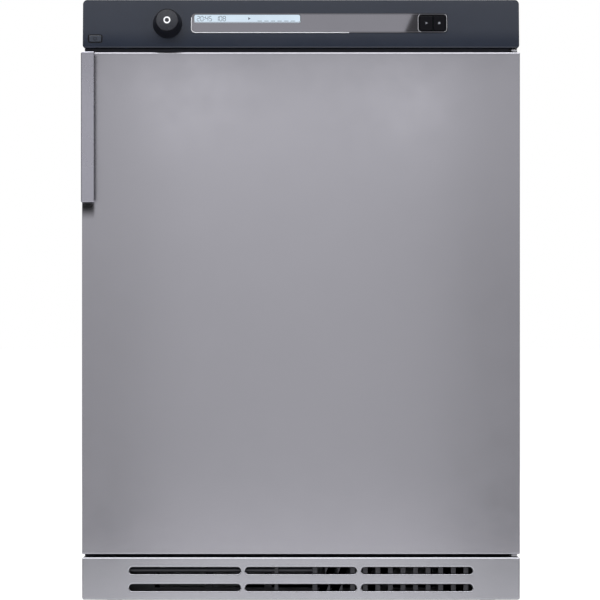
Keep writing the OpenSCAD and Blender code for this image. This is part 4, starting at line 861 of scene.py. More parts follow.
@dataclass
class Studio:
    """Camera, floor, backdrop light, lamps and the cards that glossy surfaces mirror.

    Attributes:
        eye: the camera's place in metres.
        reach: distance from the camera to the door's face in metres.
        view: width of the picture at the door's face in metres.
        ambient: strength of the even light on matt surfaces.
    """

    eye: Colour = (-0.0013, -5.796, 0.4414)
    reach: float = 5.5
    view: float = 0.81486
    ambient: float = 0.5

    def camera(self) -> None:
        """Puts the camera straight in front, with the lens that the picture's width asks for."""
        data = bpy.data.cameras.new("camera")
        data.sensor_width = 36.0
        data.lens = data.sensor_width * self.reach / self.view
        data.clip_end = 100.0
        eye = bpy.data.objects.new("camera", data)
        eye.location = self.eye
        eye.rotation_euler = (math.pi / 2, 0, 0)
        bpy.context.scene.collection.objects.link(eye)
        bpy.context.scene.camera = eye

    def world(self) -> None:
        """Shows white to the camera, to gloss and through glass, and a softer level to matt surfaces."""
        world = bpy.data.worlds.new("studio")
        bpy.context.scene.world = world
        nodes = Nodes(world)
        rays = nodes.add("LightPath").outputs
        seen = nodes.math("MAXIMUM", rays["Is Camera Ray"], rays["Is Glossy Ray"])
        clear = nodes.math("MAXIMUM", seen, rays["Is Transmission Ray"])
        level = nodes.add("MapRange", {"Value": clear, "To Min": self.ambient}).outputs[0]
        nodes.close(nodes.add("Background", {"Color": (1, 1, 1, 1), "Strength": level}), "OutputWorld")

    def floor(self) -> None:
        """Lays a pale floor that reads white to the camera and still takes the machine's shadow."""
        mesh = bpy.data.meshes.new("floor")
        half = 30.0
        mesh.from_pydata([(-half, -half, 0), (half, -half, 0), (half, half, 0), (-half, half, 0)], [],
                         [(0, 1, 2, 3)])
        floor = bpy.data.objects.new("floor", mesh)
        bpy.context.scene.collection.objects.link(floor)
        nodes = Nodes("floor_paint")
        tone = nodes.blend(nodes.between(nodes.noise(1 / 400.0, 3.0), 0, 1), (0.8, 0.8, 0.8),
                           (0.82, 0.82, 0.82))
        matt = nodes.add("BsdfDiffuse", {"Color": tone})
        rays = nodes.add("LightPath").outputs
        across = nodes.math("ABSOLUTE", nodes.axis(0))
        gloss = nodes.product(rays["Is Glossy Ray"], nodes.step(across, 0.18, 0.3, 0.6, 0.4))
        seen = nodes.math("MAXIMUM", nodes.product(rays["Is Camera Ray"], 0.62), gloss)
        lift = nodes.add("Emission", {"Strength": seen})
        mesh.materials.append(nodes.close(nodes.add("AddShader", {0: matt.outputs[0], 1: lift.outputs[0]})))

    def lamp(self, name: str, place: Colour, aim: Colour, size: Pair, power: float) -> None:
        """Hangs one soft rectangular lamp that no mirror shows.

        Args:
            name: the lamp's name.
            place: where it hangs, in metres.
            aim: the point that it faces.
            size: its width and height in metres.
            power: its power in watts.
        """
        data = bpy.data.lights.new(name, "AREA")
        data.shape = "RECTANGLE"
        data.size, data.size_y = size
        data.energy = power
        lamp = bpy.data.objects.new(name, data)
        lamp.location = place
        away = Vector(place) - Vector(aim)
        lamp.rotation_mode = "QUATERNION"
        lamp.rotation_quaternion = away.to_track_quat("Z", "Y")
        lamp.visible_camera = False
        lamp.visible_glossy = False
        bpy.context.scene.collection.objects.link(lamp)

    def card(self, name: str, corners: list[Colour], material: Material) -> None:
        """Hangs a card that only mirrors see, with its corners in metres."""
        mesh = bpy.data.meshes.new(name)
        mesh.from_pydata(corners, [], [tuple(range(len(corners)))])
        card = bpy.data.objects.new(name, mesh)
        bpy.context.scene.collection.objects.link(card)
        mesh.materials.append(material)
        for ray in ("camera", "diffuse", "shadow", "transmission", "volume_scatter"):
            setattr(card, "visible_" + ray, False)

    def plain(self, name: str, level: float) -> Material:
        """Gives a card's even light."""
        nodes = Nodes(name)
        return nodes.close(nodes.add("Emission", {"Strength": level}))

    def shade(self) -> Material:
        """Gives the dark card below the handle, a painted shadow that the door's steel mirrors: opaque at its
        top, clear towards its lower edge.
        """
        nodes = Nodes("handle_shade")
        rise = nodes.step(nodes.axis(2), 0.5495, 0.568)
        dark = nodes.add("Emission", {"Strength": 0.03}).outputs[0]
        clear = nodes.add("BsdfTransparent").outputs[0]
        return nodes.close(nodes.add("MixShader", {0: rise, 1: clear, 2: dark}))

    def strip_light(self, level: float) -> Material:
        """Gives a light that shines from the card's lower side only."""
        nodes = Nodes("strip_light")
        back = nodes.add("NewGeometry").outputs["Backfacing"]
        glow = nodes.add("Emission", {"Strength": level}).outputs[0]
        clear = nodes.add("BsdfTransparent").outputs[0]
        return nodes.close(nodes.add("MixShader", {0: back, 1: glow, 2: clear}))

    def screen(self) -> None:
        """Hangs the soft screen that the steel mirrors, with a brighter field in its middle.

        Its light is a sum of smooth steps over its width and height, in metres. The door mirrors a level
        that grows with the height and a wide field with more light at its top and bottom. Above them
        come a bright line, a dark band and the part that the control panel mirrors.
        """
        nodes = Nodes("screen_light")
        x, z = nodes.axis(0), nodes.axis(2)
        level = nodes.steps(z, (0.0, 0.35, 0.59, 0.74), (0.34, 0.86, 0.0, 0.25))
        sides = nodes.math("ADD", level, nodes.step(x, 0.0, 0.36, 0.02, -0.06))
        right = nodes.math("ADD", x, nodes.product(z, 0.035))
        field = nodes.product(nodes.step(x, -0.265, -0.215), nodes.step(right, 0.285, 0.235))
        gain = nodes.steps(z, (0.02, 0.2, 0.52, 0.22), (0.66, 0.78, 0.0, 0.14))
        away = nodes.math("ABSOLUTE", x)
        edge = nodes.product(nodes.step(away, 0.1, 0.19, 0.0, 0.4), nodes.step(z, 0.66, 0.77))
        lower = nodes.math("ADD", sides, nodes.product(field, nodes.math("ADD", gain, edge)))
        upper = nodes.steps(z, (0.85, 0.9, 1.2, 0.0), (1.04, 1.1, 0.0, 1.0), (1.17, 1.25, 0.0, 0.4))
        top = nodes.step(z, 0.80, 0.83)
        below = nodes.product(lower, nodes.math("SUBTRACT", 1.0, top))
        light = nodes.add("Emission", {"Strength": nodes.math("ADD", below, nodes.product(upper, top))})
        corners = [(-1.6, -1.2, 0.0), (1.6, -1.2, 0.0), (1.6, -1.2, 1.4), (-1.6, -1.2, 1.4)]
        self.card("screen", corners, nodes.close(light))

    def build(self) -> None:
        """Sets the whole studio up."""
        bpy.context.scene.view_settings.view_transform = "Standard"
        self.camera()
        self.world()
        self.floor()
        self.lamp("key_lamp", (-1.9, -3.4, 2.7), (0, -0.2, 0.5), (1.8, 1.8), 62.0)
        self.lamp("fill_lamp", (2.6, -3.2, 1.6), (0, -0.2, 0.45), (1.6, 1.6), 16.0)
        self.lamp("top_lamp", (-0.2, -1.85, 2.3), (0, -0.3, 0.6), (2.6, 1.0), 30.0)
        self.lamp("back_lamp", (0.8, 3.4, 2.2), (0, 0.3, 0.4), (2.0, 2.0), 36.0)
        self.screen()
        self.cards()

    def cards(self) -> None:
        """Hangs the other cards.

        The plinth's upper edge mirrors the strip. The dark card just below the handle is a painted shadow
        that the door's steel mirrors there.
        The side flags and the sky stand round the machine, and the wedge is a dim patch before the screen
        that the display strip mirrors near its right end.
        """
        x, near, far, z = 0.32, -0.2976, -0.3125, 0.0972
        self.card("strip", [(-x, near, z), (x, near, z), (x, far, z), (-x, far, z)], self.strip_light(4.0))
        # Dark card just below the handle: a painted shadow on the door's steel.
        left, right, y, low, high = -0.2998, -0.2815, -0.311, 0.543, 0.5735
        self.card("handle_flag", [(left, y, low), (right, y, low), (right, y, high), (left, y, high)],
                  self.shade())
        for way in (-1, 1):
            x, front, high = way * 0.9, -1.15, 1.3
            self.card(f"flag_{way}", [(x, front, 0.0), (x, 0.0, 0.0), (x, 0.0, high), (x, front, high)],
                      self.plain(f"flag_light_{way}", 0.3))
        self.card("sky", [(-1.6, -1.6, 2.1), (1.6, -1.6, 2.1), (1.6, -0.1, 2.2), (-1.6, -0.1, 2.2)],
                  self.plain("sky_light", 5.6))
        y, low, high = -1.19, 1.12, 1.17
        self.card("wedge", [(0.1625, y, low), (0.242, y, low), (0.242, y, high), (0.1832, y, high)],
                  self.plain("wedge_light", 0.17))


@dataclass
class Door:
    """The door: steel skin, handle, liner with its round plug, seal, hinges and latch.

    Attributes:
        width: the skin's width.
        low: level of its lower edge.
        high: level of its upper edge.
        edge: radius of the front edges at the top and the bottom.
        crisp: share of that radius at the sides.
        corner: radius of the corners, seen from the front.
        depth: how far the skin goes back.
        sheet: thickness of the steel.
        pivot: the hinge axis, across and back.
        liner: the liner's rear face along Y.
    """

    width: float = 595.0
    low: float = 96.1
    high: float = 777.9
    edge: float = 2.0
    crisp: float = 0.35
    corner: float = 1.2
    depth: float = 35.0
    sheet: float = 1.0
    pivot: Pair = (288.5, -280.0)
    liner: float = -258.0

    def skin(self) -> None:
        """Makes the steel pan: rounded rectangles from the rear edge over the front edge to the face.

        Over the front edge the loops shrink by the fillet's inset in height and by less in width, so the
        folds at the sides are crisper than the one at the top.
        """
        centre = (0.0, (self.low + self.high) / 2)
        size = (self.width, self.high - self.low)
        pairs = [(0.0, -self.depth), (0.0, -self.depth + 12), *fillet(0.0, 0.0, self.edge, 6)]
        rows = [Surface.loop(DOOR, centre, (size[0] - 2 * i * self.crisp, size[1] - 2 * i),
                             self.corner - 0.6 * i, d, 8) for i, d in pairs]
        shell = Surface().grid(np.array(rows), wrap=True).cap(rows[-1])
        shell.make("door_skin", "door", Paints.door, ("door_panel",), wall=self.sheet)

    def bushes(self) -> None:
        """Makes the two collars in which the hinge pins turn."""
        x, y = self.pivot
        rings = Surface()
        for level, way in ((self.high, 1), (self.low, -1)):
            profile = [(3.1, -2.0), (3.1, 0.25), (3.5, 0.5), (5.2, 0.5), (5.6, 0.2), (5.6, -2.0)]
            turned = [(r, h * way) for r, h in [*profile, profile[0]]]
            rings.grid(lathe(turned, (x, y, level), (0, 0, 1), 40), wrap=True)
        rings.make("hinge_bushes", "door", Paints.bearing)

    def caps(self) -> None:
        """Makes the light caps over the outer ends of the hinge arms."""
        caps = Surface()
        for level in (780.85, 94.1):
            caps.slab(Place((289.9, -284.0, level)), (0.0, 0.0), (7.4, 2.9), 1.0, 0.0, 4.3, 0.6, 4)
        caps.make("hinge_caps", frame["nodes"]["door_hinges"]["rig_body"], Paints.cap)

    def screws(self) -> None:
        """Makes the heads of the screws that hold the liner, near its corners and sides."""
        heads = Surface()
        for x, levels in ((-283.0, (130.0, 330.0, 545.0, 748.0)), (283.0, (160.0, 330.0, 545.0, 720.0))):
            for z in levels:
                heads.grid(cross_head((x, self.liner, z), 3.6, 1.5))
        heads.make("liner_screws", "door", Paints.zinc)

    def build(self) -> None:
        """Builds and dresses the door."""
        self.skin()
        self.bushes()
        self.caps()
        self.screws()
        softened("door_handle", Paints.handle, 1.1, 3)
        softened("door_liner", Paints.liner, 0.7, 2)
        softened("latch_strike", Paints.zinc, 0.3)
        softened("door_hinges", Paints.hinge, 0.35)
        dress("door_seal", Paints.seal)
        softened("door_catch", Paints.catch, 0.6)


def cross_head(place: Colour, r: float, rise: float, steps: int = 32) -> Array:
    """Gives a pan head that faces +Y, with a cross recess, as a polar grid.

    At the share s of the radius the dome is rise * (1 - 0.75 * s^5) high, and 0 at the rim. The recess
    is taken off where one of the two coordinates is narrow and the other short.

    Args:
        place: middle of the head's seat.
        r: radius of the head.
        rise: height of the dome.
        steps: pieces of the full turn.

    Returns:
        The grid, closed round the turn.
    """
    narrow, short, soft = 0.17 * r, 0.55 * r, 0.1 * r

    def bar(one: Array, other: Array) -> Array:
        """Gives 1 inside one bar of the cross and 0 outside it, with a soft edge."""
        return np.clip((narrow - np.abs(one)) / soft, 0, 1) * np.clip((short - np.abs(other)) / soft, 0, 1)

    s = np.array([0, 0.1, 0.2, 0.3, 0.4, 0.5, 0.58, 0.66, 0.78, 0.88, 0.95, 1.0])[:, None]
    t = np.linspace(0, WHOLE_TURN, steps + 1)
    x, z = s * np.cos(t) * r, s * np.sin(t) * r
    dome = rise * (1 - (s ** 5) * 0.75) * np.ones_like(x)
    dome[-1] = 0.0
    height = dome - 0.7 * rise * np.maximum(bar(x, z), bar(z, x))
    return np.stack([place[0] + x, place[1] + height, place[2] - z], axis=-1)


@dataclass
class Plinth:
    """The plinth panel with its six slots, and the grille behind it.

    Attributes:
        face: the panel's face along Y.
        low: level of its lower edge.
        high: level of its upper edge.
        half: half of its width.
        depth: how far its edges go back.
        slot: length and height of a slot.
        pitch: distance from slot to slot, across and up.
        first: level of the lower row's middle.
        roll: radius with which the sheet rolls into the slot.
        edge: radius of the sheet's outer edges.
    """

    face: float = -294.0
    low: float = 33.9
    high: float = 92.1
    half: float = 297.5
    depth: float = 38.0
    slot: Pair = (151.5, 9.5)
    pitch: Pair = (157.7, 23.1)
    first: float = 50.5
    roll: float = 1.6
    edge: float = 2.0

    def slots(self, sheet: Surface, place: Place) -> None:
        """Adds the six slots, each a set of rounded rectangles from its cell's edge to the rolled lip.

        The lip goes from the face over a quarter round back into the slot.
        """
        turn = np.radians(np.linspace(0, 90, 7))
        roll = [(self.roll * (1 - math.sin(a)), -self.roll * (1 - math.cos(a))) for a in turn]
        steps = [(self.roll + 1.2, 0.0), *roll, (0.0, -2.7)]
        for i in (-1, 0, 1):
            for k in (0, 1):
                centre = (i * self.pitch[0], self.first + k * self.pitch[1])
                rows = [Surface.loop(place, centre, self.pitch, 0.0, 0.0, 8)]
                for out, d in steps:
                    size = (self.slot[0] + 2 * out, self.slot[1] + 2 * out)
                    rows.append(Surface.loop(place, centre, size, size[1] / 2, d, 8))
                sheet.grid(np.array(rows), wrap=True)

    def border(self, sheet: Surface, place: Place) -> None:
        """Adds the sheet round the slots and its rounded edges."""
        half = (1.5 * self.pitch[0], self.pitch[1])
        middle = self.first + self.pitch[1] / 2
        block = self.frame_loop(half[0], middle - half[1], middle + half[1], 0.0)
        rows = [place.at(block[:, 0], block[:, 1], 0.0)]
        face = [(self.edge + 0.4, 0.0), *fillet(0.0, 0.0, self.edge, 5)[::-1]]
        for i, d in [*face, (0.0, -self.edge - 8), (0.0, -self.depth)]:
            flat = self.frame_loop(self.half - i, self.low + i, self.high - i, 3.0 - 0.6 * i)
            rows.append(place.at(flat[:, 0], flat[:, 1], d))
        sheet.grid(np.array(rows), wrap=True)

    def frame_loop(self, half: float, low: float, high: float, r: float) -> Array:
        """Gives a rounded rectangle with extra points where the slots' cells meet its sides."""
        base = outline(2 * half, high - low, r, 6) + np.array([0.0, (low + high) / 2])
        x = 0.5 * self.pitch[0]
        z = self.first + self.pitch[1] / 2
        quarters = np.split(base, 4)
        extra = [np.array([[x, high], [-x, high]]), np.array([[-half, z]]),
                 np.array([[-x, low], [x, low]]), np.array([[half, z]])]
        return np.concatenate([part for pair in zip(quarters, extra) for part in pair])

    def build(self) -> None:
        """Builds and dresses the plinth."""
        place = Place((0.0, self.face, 0.0))
        sheet = Surface()
        self.slots(sheet, place)
        self.border(sheet, place)
        sheet.make("plinth_sheet", "cabinet", Paints.plinth, ("plinth_panel",), wall=0.9, smooth=40)
        softened("plinth_grille", Paints.grille, 0.5)


@dataclass
class ControlPanel:
    """The leaning control panel with its display strip, keys, power button and selector.

    Attributes:
        strip: middle of the display strip, across and up.
        strip_size: width and height of the strip.
        window: middle of the display window.
        window_size: its width and height.
        block: middle of the black block.
        block_size: its width and height.
        power: middle of the power button.
        knob: the selector's axis.
    """

    strip: Pair = (25.0, 32.1)
    strip_size: Pair = (347.8, 26.3)
    window: Pair = (-73.0, 38.35)
    window_size: Pair = (145.0, 11.0)
    block: Pair = (178.7, 32.1)
    block_size: Pair = (37.4, 23.3)
    power: Pair = (-279.6, 10.7)
    knob: Pair = (-181.4, 31.3)

    @staticmethod
    def round_ends(body: Object) -> None:
        """Rounds the upright edges at the panel's two ends: those whose points lie beyond 296 mm."""
        mesh = body.data
        points = np.empty(len(mesh.vertices) * 3, np.float32)
        mesh.vertices.foreach_get("co", points)
        pairs = np.empty(len(mesh.edges) * 2, np.int32)
        mesh.edges.foreach_get("vertices", pairs)
        ends = points.reshape(-1, 3)[pairs.reshape(-1, 2)]
        upright = np.abs(ends[:, 0, 2] - ends[:, 1, 2]) > 0.02
        outer = (np.abs(ends[:, :, 0]) > 0.296).all(axis=1) & (ends[:, :, 1] < -0.27).all(axis=1)
        weight = mesh.attributes.new("bevel_weight_edge", "FLOAT", "EDGE")
        weight.data.foreach_set("value", (upright & outer).astype(np.float32))
        bevel = body.modifiers.new("ends", "BEVEL")
        bevel.limit_method = "WEIGHT"
        bevel.width = 1.8 * MM
        bevel.segments = 4
        body.modifiers.move(body.modifiers.find("ends"), 0)

    def rims(self) -> None:
        """Makes the bright beads: left of the strip and below it, and at the ends of the black block. They
        are real beads whose pale colour is a painted highlight.

        A loop has nine points for each corner, from the upper right one over the upper left to the lower
        right. The strip's bead stops 0.62 of the way along the lower edge, and the block's two bright beads
        follow its ends only.
        """
        bead = [(-0.4, 0.2), (-0.35, 1.3), (0.0, 1.5), (0.45, 1.35), (0.5, 0.9)]
        rows = Surface.loops(PANEL, self.strip, self.strip_size, 5.5, bead, 8)
        tail = rows[:, 26:27] + 0.62 * (rows[:, 27:28] - rows[:, 26:27])
        beads = Surface().solid(np.swapaxes(np.concatenate([rows[:, 17:27], tail], axis=1), 0, 1))
        bead = [(0.35, 0.9), (0.37, 1.45), (0.5, 1.48), (0.63, 1.45), (0.65, 0.9)]
        rows = Surface.loops(PANEL, self.block, grown(self.block_size, 2.7), 5.4, bead, 8)
        for points in (range(11, 26), [*range(28, 36), *range(0, 7)]):
            beads.solid(np.swapaxes(rows[:, list(points)], 0, 1))
        beads.make("strip_rim", "cabinet", Paints.rim)

    def edges(self) -> None:
        """Makes the dark edges, the gaps round the strip and the power button, and a dark strip in the gap
        above the door.

        The edges go round the window, the strip and the block. The dark colour of the edges round the window
        and the strip, of the gaps and of the strip above the door is painted shade.
        """
        # Rims round the window and the strip, darkened as painted shade along their edges.
        edges = Surface()
        centre = (self.window[0], self.window[1] + 0.3)
        edges.ring(PANEL, centre, grown(self.window_size, 0.4), 3.4,
                   [(0.0, 0.9), (0.05, 1.1), (0.35, 1.15), (0.75, 0.95)])
        edges.ring(PANEL, self.strip, self.strip_size, 5.5, [(0.5, 0.9), (0.5, 1.2), (1.2, 1.2), (1.2, 0.9)])
        edges.make("window_rims", "cabinet", Paints.lip)
        border = Surface().ring(PANEL, self.block, grown(self.block_size, 2.7), 5.4,
                                [(0.0, -0.1), (0.0, 1.25), (1.5, 1.3), (1.5, 0.2)])
        border.make("block_border", "cabinet", Paints.border)
        # Flat dark rings round the strip and the power button: painted shade where their gaps are.
        groove = Surface()
        for centre, size, r, width in ((self.strip, grown(self.strip_size, 1.1), 6.0, 0.7),
                                       (self.power, (20.2, 11.7), 3.2, 1.4)):
            groove.ring(PANEL, centre, size, r, [(0.0, -0.1), (0.0, 0.05), (width, 0.05), (width, -0.1)])
        groove.make("strip_gap", "cabinet", Paints.gap)
        # A dark strip in the gap above the door, its colour set as painted shade.
        seal = Surface().slab(Place((-5.0, -288.3, 780.9)), (0.0, 0.0), (577.0, 4.6), 0.8, 0.0, 2.2, 0.4, 3)
        seal.make("lip_seal", "cabinet", Paints.lip_seal)

    @staticmethod
    def bar(sheet: Surface, x: float, v: float, size: Pair, r: float) -> None:
        """Adds one flat bar of ink to the display."""
        sheet.slab(PANEL, (x, v), size, r, *INK, 0.02, 2)

    def digits(self) -> None:
        """Makes the figures on the display: seven-bar digits, a colon, a small arrow and six dashes.

        A digit is a set of bars in a cell 3.4 wide and 6.4 high; the letters a to g name its bars.
        """
        w, h, t = 3.4, 6.4, 0.75
        flat, upright = (w - t, t), (t, h / 2 - t / 2)
        bars = {"a": (0, h / 2, flat), "g": (0, 0, flat), "d": (0, -h / 2, flat),
                "f": (-w / 2, h / 4, upright), "b": (w / 2, h / 4, upright),
                "e": (-w / 2, -h / 4, upright), "c": (w / 2, -h / 4, upright)}
        shown = {"0": "abcdef", "1": "bc", "2": "abged", "4": "fgbc", "5": "afgcd", "8": "abcdefg"}
        advance = {" ": 4.2, ":": 1.6}
        ink = Surface()
        x, v = -139.5, self.window[1]
        for figure in "20:45 108":
            if figure == ":":
                for dv in (-1.4, 1.4):
                    self.bar(ink, x - 1.4, v + dv, (0.9, 0.9), 0.2)
            for letter in shown.get(figure, ""):
                bx, bv, size = bars[letter]
                self.bar(ink, x + bx, v + bv, size, 0.25)
            x += advance.get(figure, 4.9)
        ink.make("display_figures", "cabinet", Paints.ink)
        arrow = Surface()
        self.triangle(arrow, (-70.6, v), 2.2, *INK)
        for x in (-56.0, -47.0, -38.0, -29.0, -20.0, -11.0):
            self.bar(arrow, x, v - 3.4, (6.0, 0.7), 0.2)
        arrow.make("display_marks", "cabinet", Paints.ink)

    @staticmethod
    def triangle(sheet: Surface, centre: Pair, reach: float, back: float, front: float) -> None:
        """Adds a flat triangle that points to the right: three corners at 0, 120 and 240 degrees."""
        sheet.solid(PANEL.rings(centre, np.radians([0, 120, 240]), ((reach, back), (reach, front))))

    def keys(self) -> None:
        """Rounds the two keys and their surround, and marks them with a triangle and a square."""
        softened("button_bezel", Paints.bezel, 0.5)
        softened("start_button", Paints.key, 0.6)
        softened("stop_button", Paints.key, 0.6)
        x, v = self.block
        start = Surface()
        self.triangle(start, (x - 8.3, v), 2.0, 1.2, 1.38)
        start.make("start_mark", "start_key", Paints.mark)
        stop = Surface().slab(PANEL, (x + 9.2, v), (2.9, 2.9), 0.4, 1.2, 1.38, 0.05, 2)
        stop.make("stop_mark", "stop_key", Paints.mark)

    def power_button(self) -> None:
        """Rounds the power button and marks it with a small ring and bar."""
        softened("power_button", Paints.power, 0.9, 3)
        inner, outer, back, front = 1.7, 2.7, 0.7, 0.9
        arc = PANEL.rings(self.power, np.radians(np.linspace(120, 420, 25)), (
            (inner, back), (inner, front), (outer, front), (outer, back), (inner, back)))
        mark = Surface().grid(arc)
        mark.slab(PANEL, (self.power[0], self.power[1] + 1.6), (0.9, 2.2), 0.3, back, front, 0.02, 2)
        mark.ring(PANEL, self.power, (16.96, 8.46), 2.2,
                  [(0.0, 0.0), (0.0, 0.2), (0.2, 0.6), (0.45, 0.8), (0.7, 0.82), (0.7, 0.4)])
        mark.make("power_mark", "power_key", Paints.dim)

    def selector(self) -> None:
        """Makes the knob: a cone with a crisp rim, its domed face and a plain ring on it.

        The dome's height is 0.55 * (1 - (1 - s) ^ 2) at the share s of the way from its rim to its middle.
        """
        seat, axis = tuple(PANEL.at(*self.knob, 0.0)), PANEL.out
        turn = np.radians(np.linspace(0, 90, 5))
        rim = [(15.55 - 0.4 + 0.4 * math.cos(a), 25.0 + 0.4 * math.sin(a)) for a in turn]
        cone = [(0.0, 3.0), (17.0, 3.0), (17.0, 0.4), (19.6, 0.4), (19.9, 0.7), (19.75, 1.6),
                (15.65, 24.4), *rim, (15.0, 25.2), (0.0, 25.2)]
        shaft = [(0.0, 3.2), (2.95, 3.2), (2.95, -14.0), (0.0, -14.0)]
        knob = Surface().grid(lathe(cone, seat, axis, 144), wrap=True)
        knob.grid(lathe(shaft, seat, axis, 32), wrap=True)
        knob.make("selector_cone", "selector", Paints.knob, ("selector_knob",))
        s = np.linspace(0, 1, 9)
        face = [(0.0, 25.1), (14.4, 25.1), *zip(14.4 - 14.4 * s, 25.35 + 0.55 * (1 - (1 - s) ** 2))]
        Surface().grid(lathe(face, seat, axis), wrap=True).make("selector_face", "selector", Paints.knob_face)
        # A soft-black band between the face and the cone's rim; its dark colour also stands for the shade at
        # the face's edge.
        band = [(14.4, 25.0), (14.4, 25.32), (15.2, 25.3), (15.6, 25.1), (15.78, 24.6), (15.8, 24.0),
                (15.3, 24.0), (14.4, 25.0)]
        Surface().grid(lathe(band, seat, axis), wrap=True).make("selector_band", "selector", Paints.gap)
        t = np.linspace(0, WHOLE_TURN, 48, endpoint=False)
        ring = PANEL.rings(self.knob, t, ((2.9, 25.5), (2.9, 25.94), (4.7, 25.9), (4.7, 25.5), (2.9, 25.5)))
        Surface().grid(ring, wrap=True).make("selector_mark", "selector", Paints.ring)

    def build(self) -> None:
        """Builds and dresses the control panel."""
        body = softened("control_panel", Paints.panel, 0.0)
        self.round_ends(body)
        softened("display_trim", Paints.trim, 0.0)
        dress("display_window", Paints.window)
        self.rims()
        self.edges()
        self.digits()
        self.keys()
        self.power_button()
        self.selector()
        dress("control_board", Paints.board)
        dress("selector_encoder", Paints.encoder)


@dataclass
class Cabinet:
    """The box: sides, worktop, rear, front frame, base and feet.

    Attributes:
        side: the sides' outer face along X.
        front: the sides' front edge along Y.
        rear: their rear face along Y.
        low: level of the base.
        high: level of the sides' upper edge.
        press: depth of the pressed field in the sides.
        field_y: the field's front and rear end.
        field_z: the field's lower and upper end.
        slope: width of the slope round the field.
        flange: width of the flanges.
    """

    side: float = 295.8
    front: float = -254.0
    rear: float = 250.0
    low: float = 33.9
    high: float = 822.0
    press: float = 1.6
    field_y: Pair = (-210.0, 206.0)
    field_z: Pair = (80.0, 778.0)
    slope: float = 26.0
    flange: float = 14.0

    def side_panel(self, way: int, node: str) -> None:
        """Makes one side: a sheet with a shallow pressed field, and its rear and top flanges.

        The field's depth is press times a smooth step of the distance to the field's edge.

        Args:
            way: -1 for the left side and 1 for the right.
            node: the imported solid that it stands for.
        """
        def lines(even: Array, ends: Pair) -> Array:
            """Gives the grid's lines: the even ones and finer ones over the field's two slopes."""
            low, high = ends
            return np.unique(np.concatenate([even, np.linspace(low - 2, low + 30, 9),
                                             np.linspace(high - 30, high + 2, 9)]))

        yy, zz = np.meshgrid(lines(np.linspace(self.front, self.rear, 40), self.field_y),
                             lines(np.linspace(self.low, self.high, 60), self.field_z), indexing="ij")
        inside = np.minimum.reduce([yy - self.field_y[0], self.field_y[1] - yy,
                                    zz - self.field_z[0], self.field_z[1] - zz])
        s = np.clip(inside / self.slope, 0, 1)
        dent = self.press * s * s * (3 - 2 * s)
        sheet = Surface().grid(np.stack([way * (self.side - dent), yy, zz], -1))
        inner = self.side - self.flange
        corner = (self.rear, self.high)
        for start in ((self.rear, 92.1), (-236.8, self.high)):
            flange = [[[way * self.side, *end], [way * inner, *end]] for end in (start, corner)]
            sheet.grid(np.array(flange))
        piece = sheet.make(node + "_sheet", "cabinet", Paints.side, (node,), wall=1.0)
        if way * sum(p.normal.x for p in piece.data.polygons if abs(p.normal.x) > 0.5) < 0:
            piece.data.flip_normals()

    def screw_heads(self) -> None:
        """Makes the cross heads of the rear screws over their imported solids."""
        heads = Surface()
        reach = 231.0
        places = [(s * 287.8, z, 251.0) for s in (-1, 1) for z in (58.9, 298.9, 558.9, 800.0)]
        places += [(reach * math.cos(a), 498.9 + reach * math.sin(a), 252.0)
                   for a in np.radians([10, 55, 100, 145, 190, 235])]
        places += [(211.0, 160.0, 252.0), (211.0, 280.0, 252.0), (49.0, 180.0, 252.0), (90.0, 99.0, 252.0),
                   (170.0, 99.0, 252.0)]
        for x, z, y in places:
            heads.grid(cross_head((x, y + 0.9, z), 4.15, 1.75))
        heads.make("screw_heads", "cabinet", Paints.zinc)

    def terminals(self) -> None:
        """Makes the gland's nut and the terminal box's lid with its two screws."""
        t = np.linspace(0, WHOLE_TURN, 48, endpoint=False)
        grip, bore = 10.6 + 0.5 * np.cos(12 * t), 5.6
        stack = [(0.86 * grip, 751.0), (grip, 750.0), (grip, 744.5), (0.9 * grip, 743.2),
                 (0.62 * grip, 741.6), (bore, 741.6), (bore, 750.9), (0.86 * grip, 751.0)]
        nut = Surface().grid(self.stack(-251.3, 265.0, t, stack), wrap=True)
        nut.make("gland_nut", "cabinet", Paints.box)
        lid = Surface().slab(REAR, (233.8, 779.0), (78.0, 51.0), 4.0, 27.5, 29.2, 0.9)
        lid.make("terminal_lid", "cabinet", Paints.box)
        heads = Surface()
        for x in (-201.8, -265.8):
            heads.grid(cross_head((x, 280.1, 779.0), 3.0, 1.2))
        heads.make("terminal_screws", "cabinet", Paints.zinc)

    @staticmethod
    def stack(x: float, y: float, turn: Array, rows: list[tuple[Array | float, float]]) -> Array:
        """Gives rings round an upright axis, one for each radius and level."""
        return np.array([np.stack([x + r * np.cos(turn), y + r * np.sin(turn), np.full_like(turn, z)], -1)
                         for r, z in rows])

    def foot(self, node: str, body: str) -> None:
        """Makes one foot: a ribbed pad and a threaded stem.

        The pad's radius swings with the cosine of 30 times the angle; the thread's radius follows the
        fraction of the height over the pitch plus the angle.

        Args:
            node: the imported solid.
            body: the body that it rides on.
        """
        low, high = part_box(node)
        x, y = (low.x + high.x) / 2 / MM, (low.y + high.y) / 2 / MM
        t = np.linspace(0, WHOLE_TURN, 120, endpoint=False)
        ribs = 1 + np.cos(30 * t)
        rows = [(0.01, 0.0, 0), (20.0, 0.0, 0), (21.6, 0.9, 0.4), (21.9, 2.2, 1), (21.9, 8.0, 1),
                (21.0, 9.6, 0.6), (18.5, 10.6, 0), (12.5, 11.9, 0), (8.0, 12.0, 0), (0.01, 12.0, 0)]
        ribbed = [(r - 0.45 * share * ribs, z) for r, z, share in rows]
        pad = Surface().grid(self.stack(x, y, t, ribbed), wrap=True)
        pad.make(node + "_pad", body, Paints.foot, (node,), smooth=50)
        t = np.linspace(0, WHOLE_TURN, 24, endpoint=False)
        z = np.linspace(11.0, high.z / MM, 220)[:, None]
        phase = (z / 1.6 + t / WHOLE_TURN) % 1.0
        r = 4.35 + 0.6 * (1 - np.abs(2 * phase - 1))
        stem = Surface().solid(np.stack(np.broadcast_arrays(x + r * np.cos(t), y + r * np.sin(t), z), -1))
        stem.make(node + "_stem", body, Paints.stem, smooth=60)

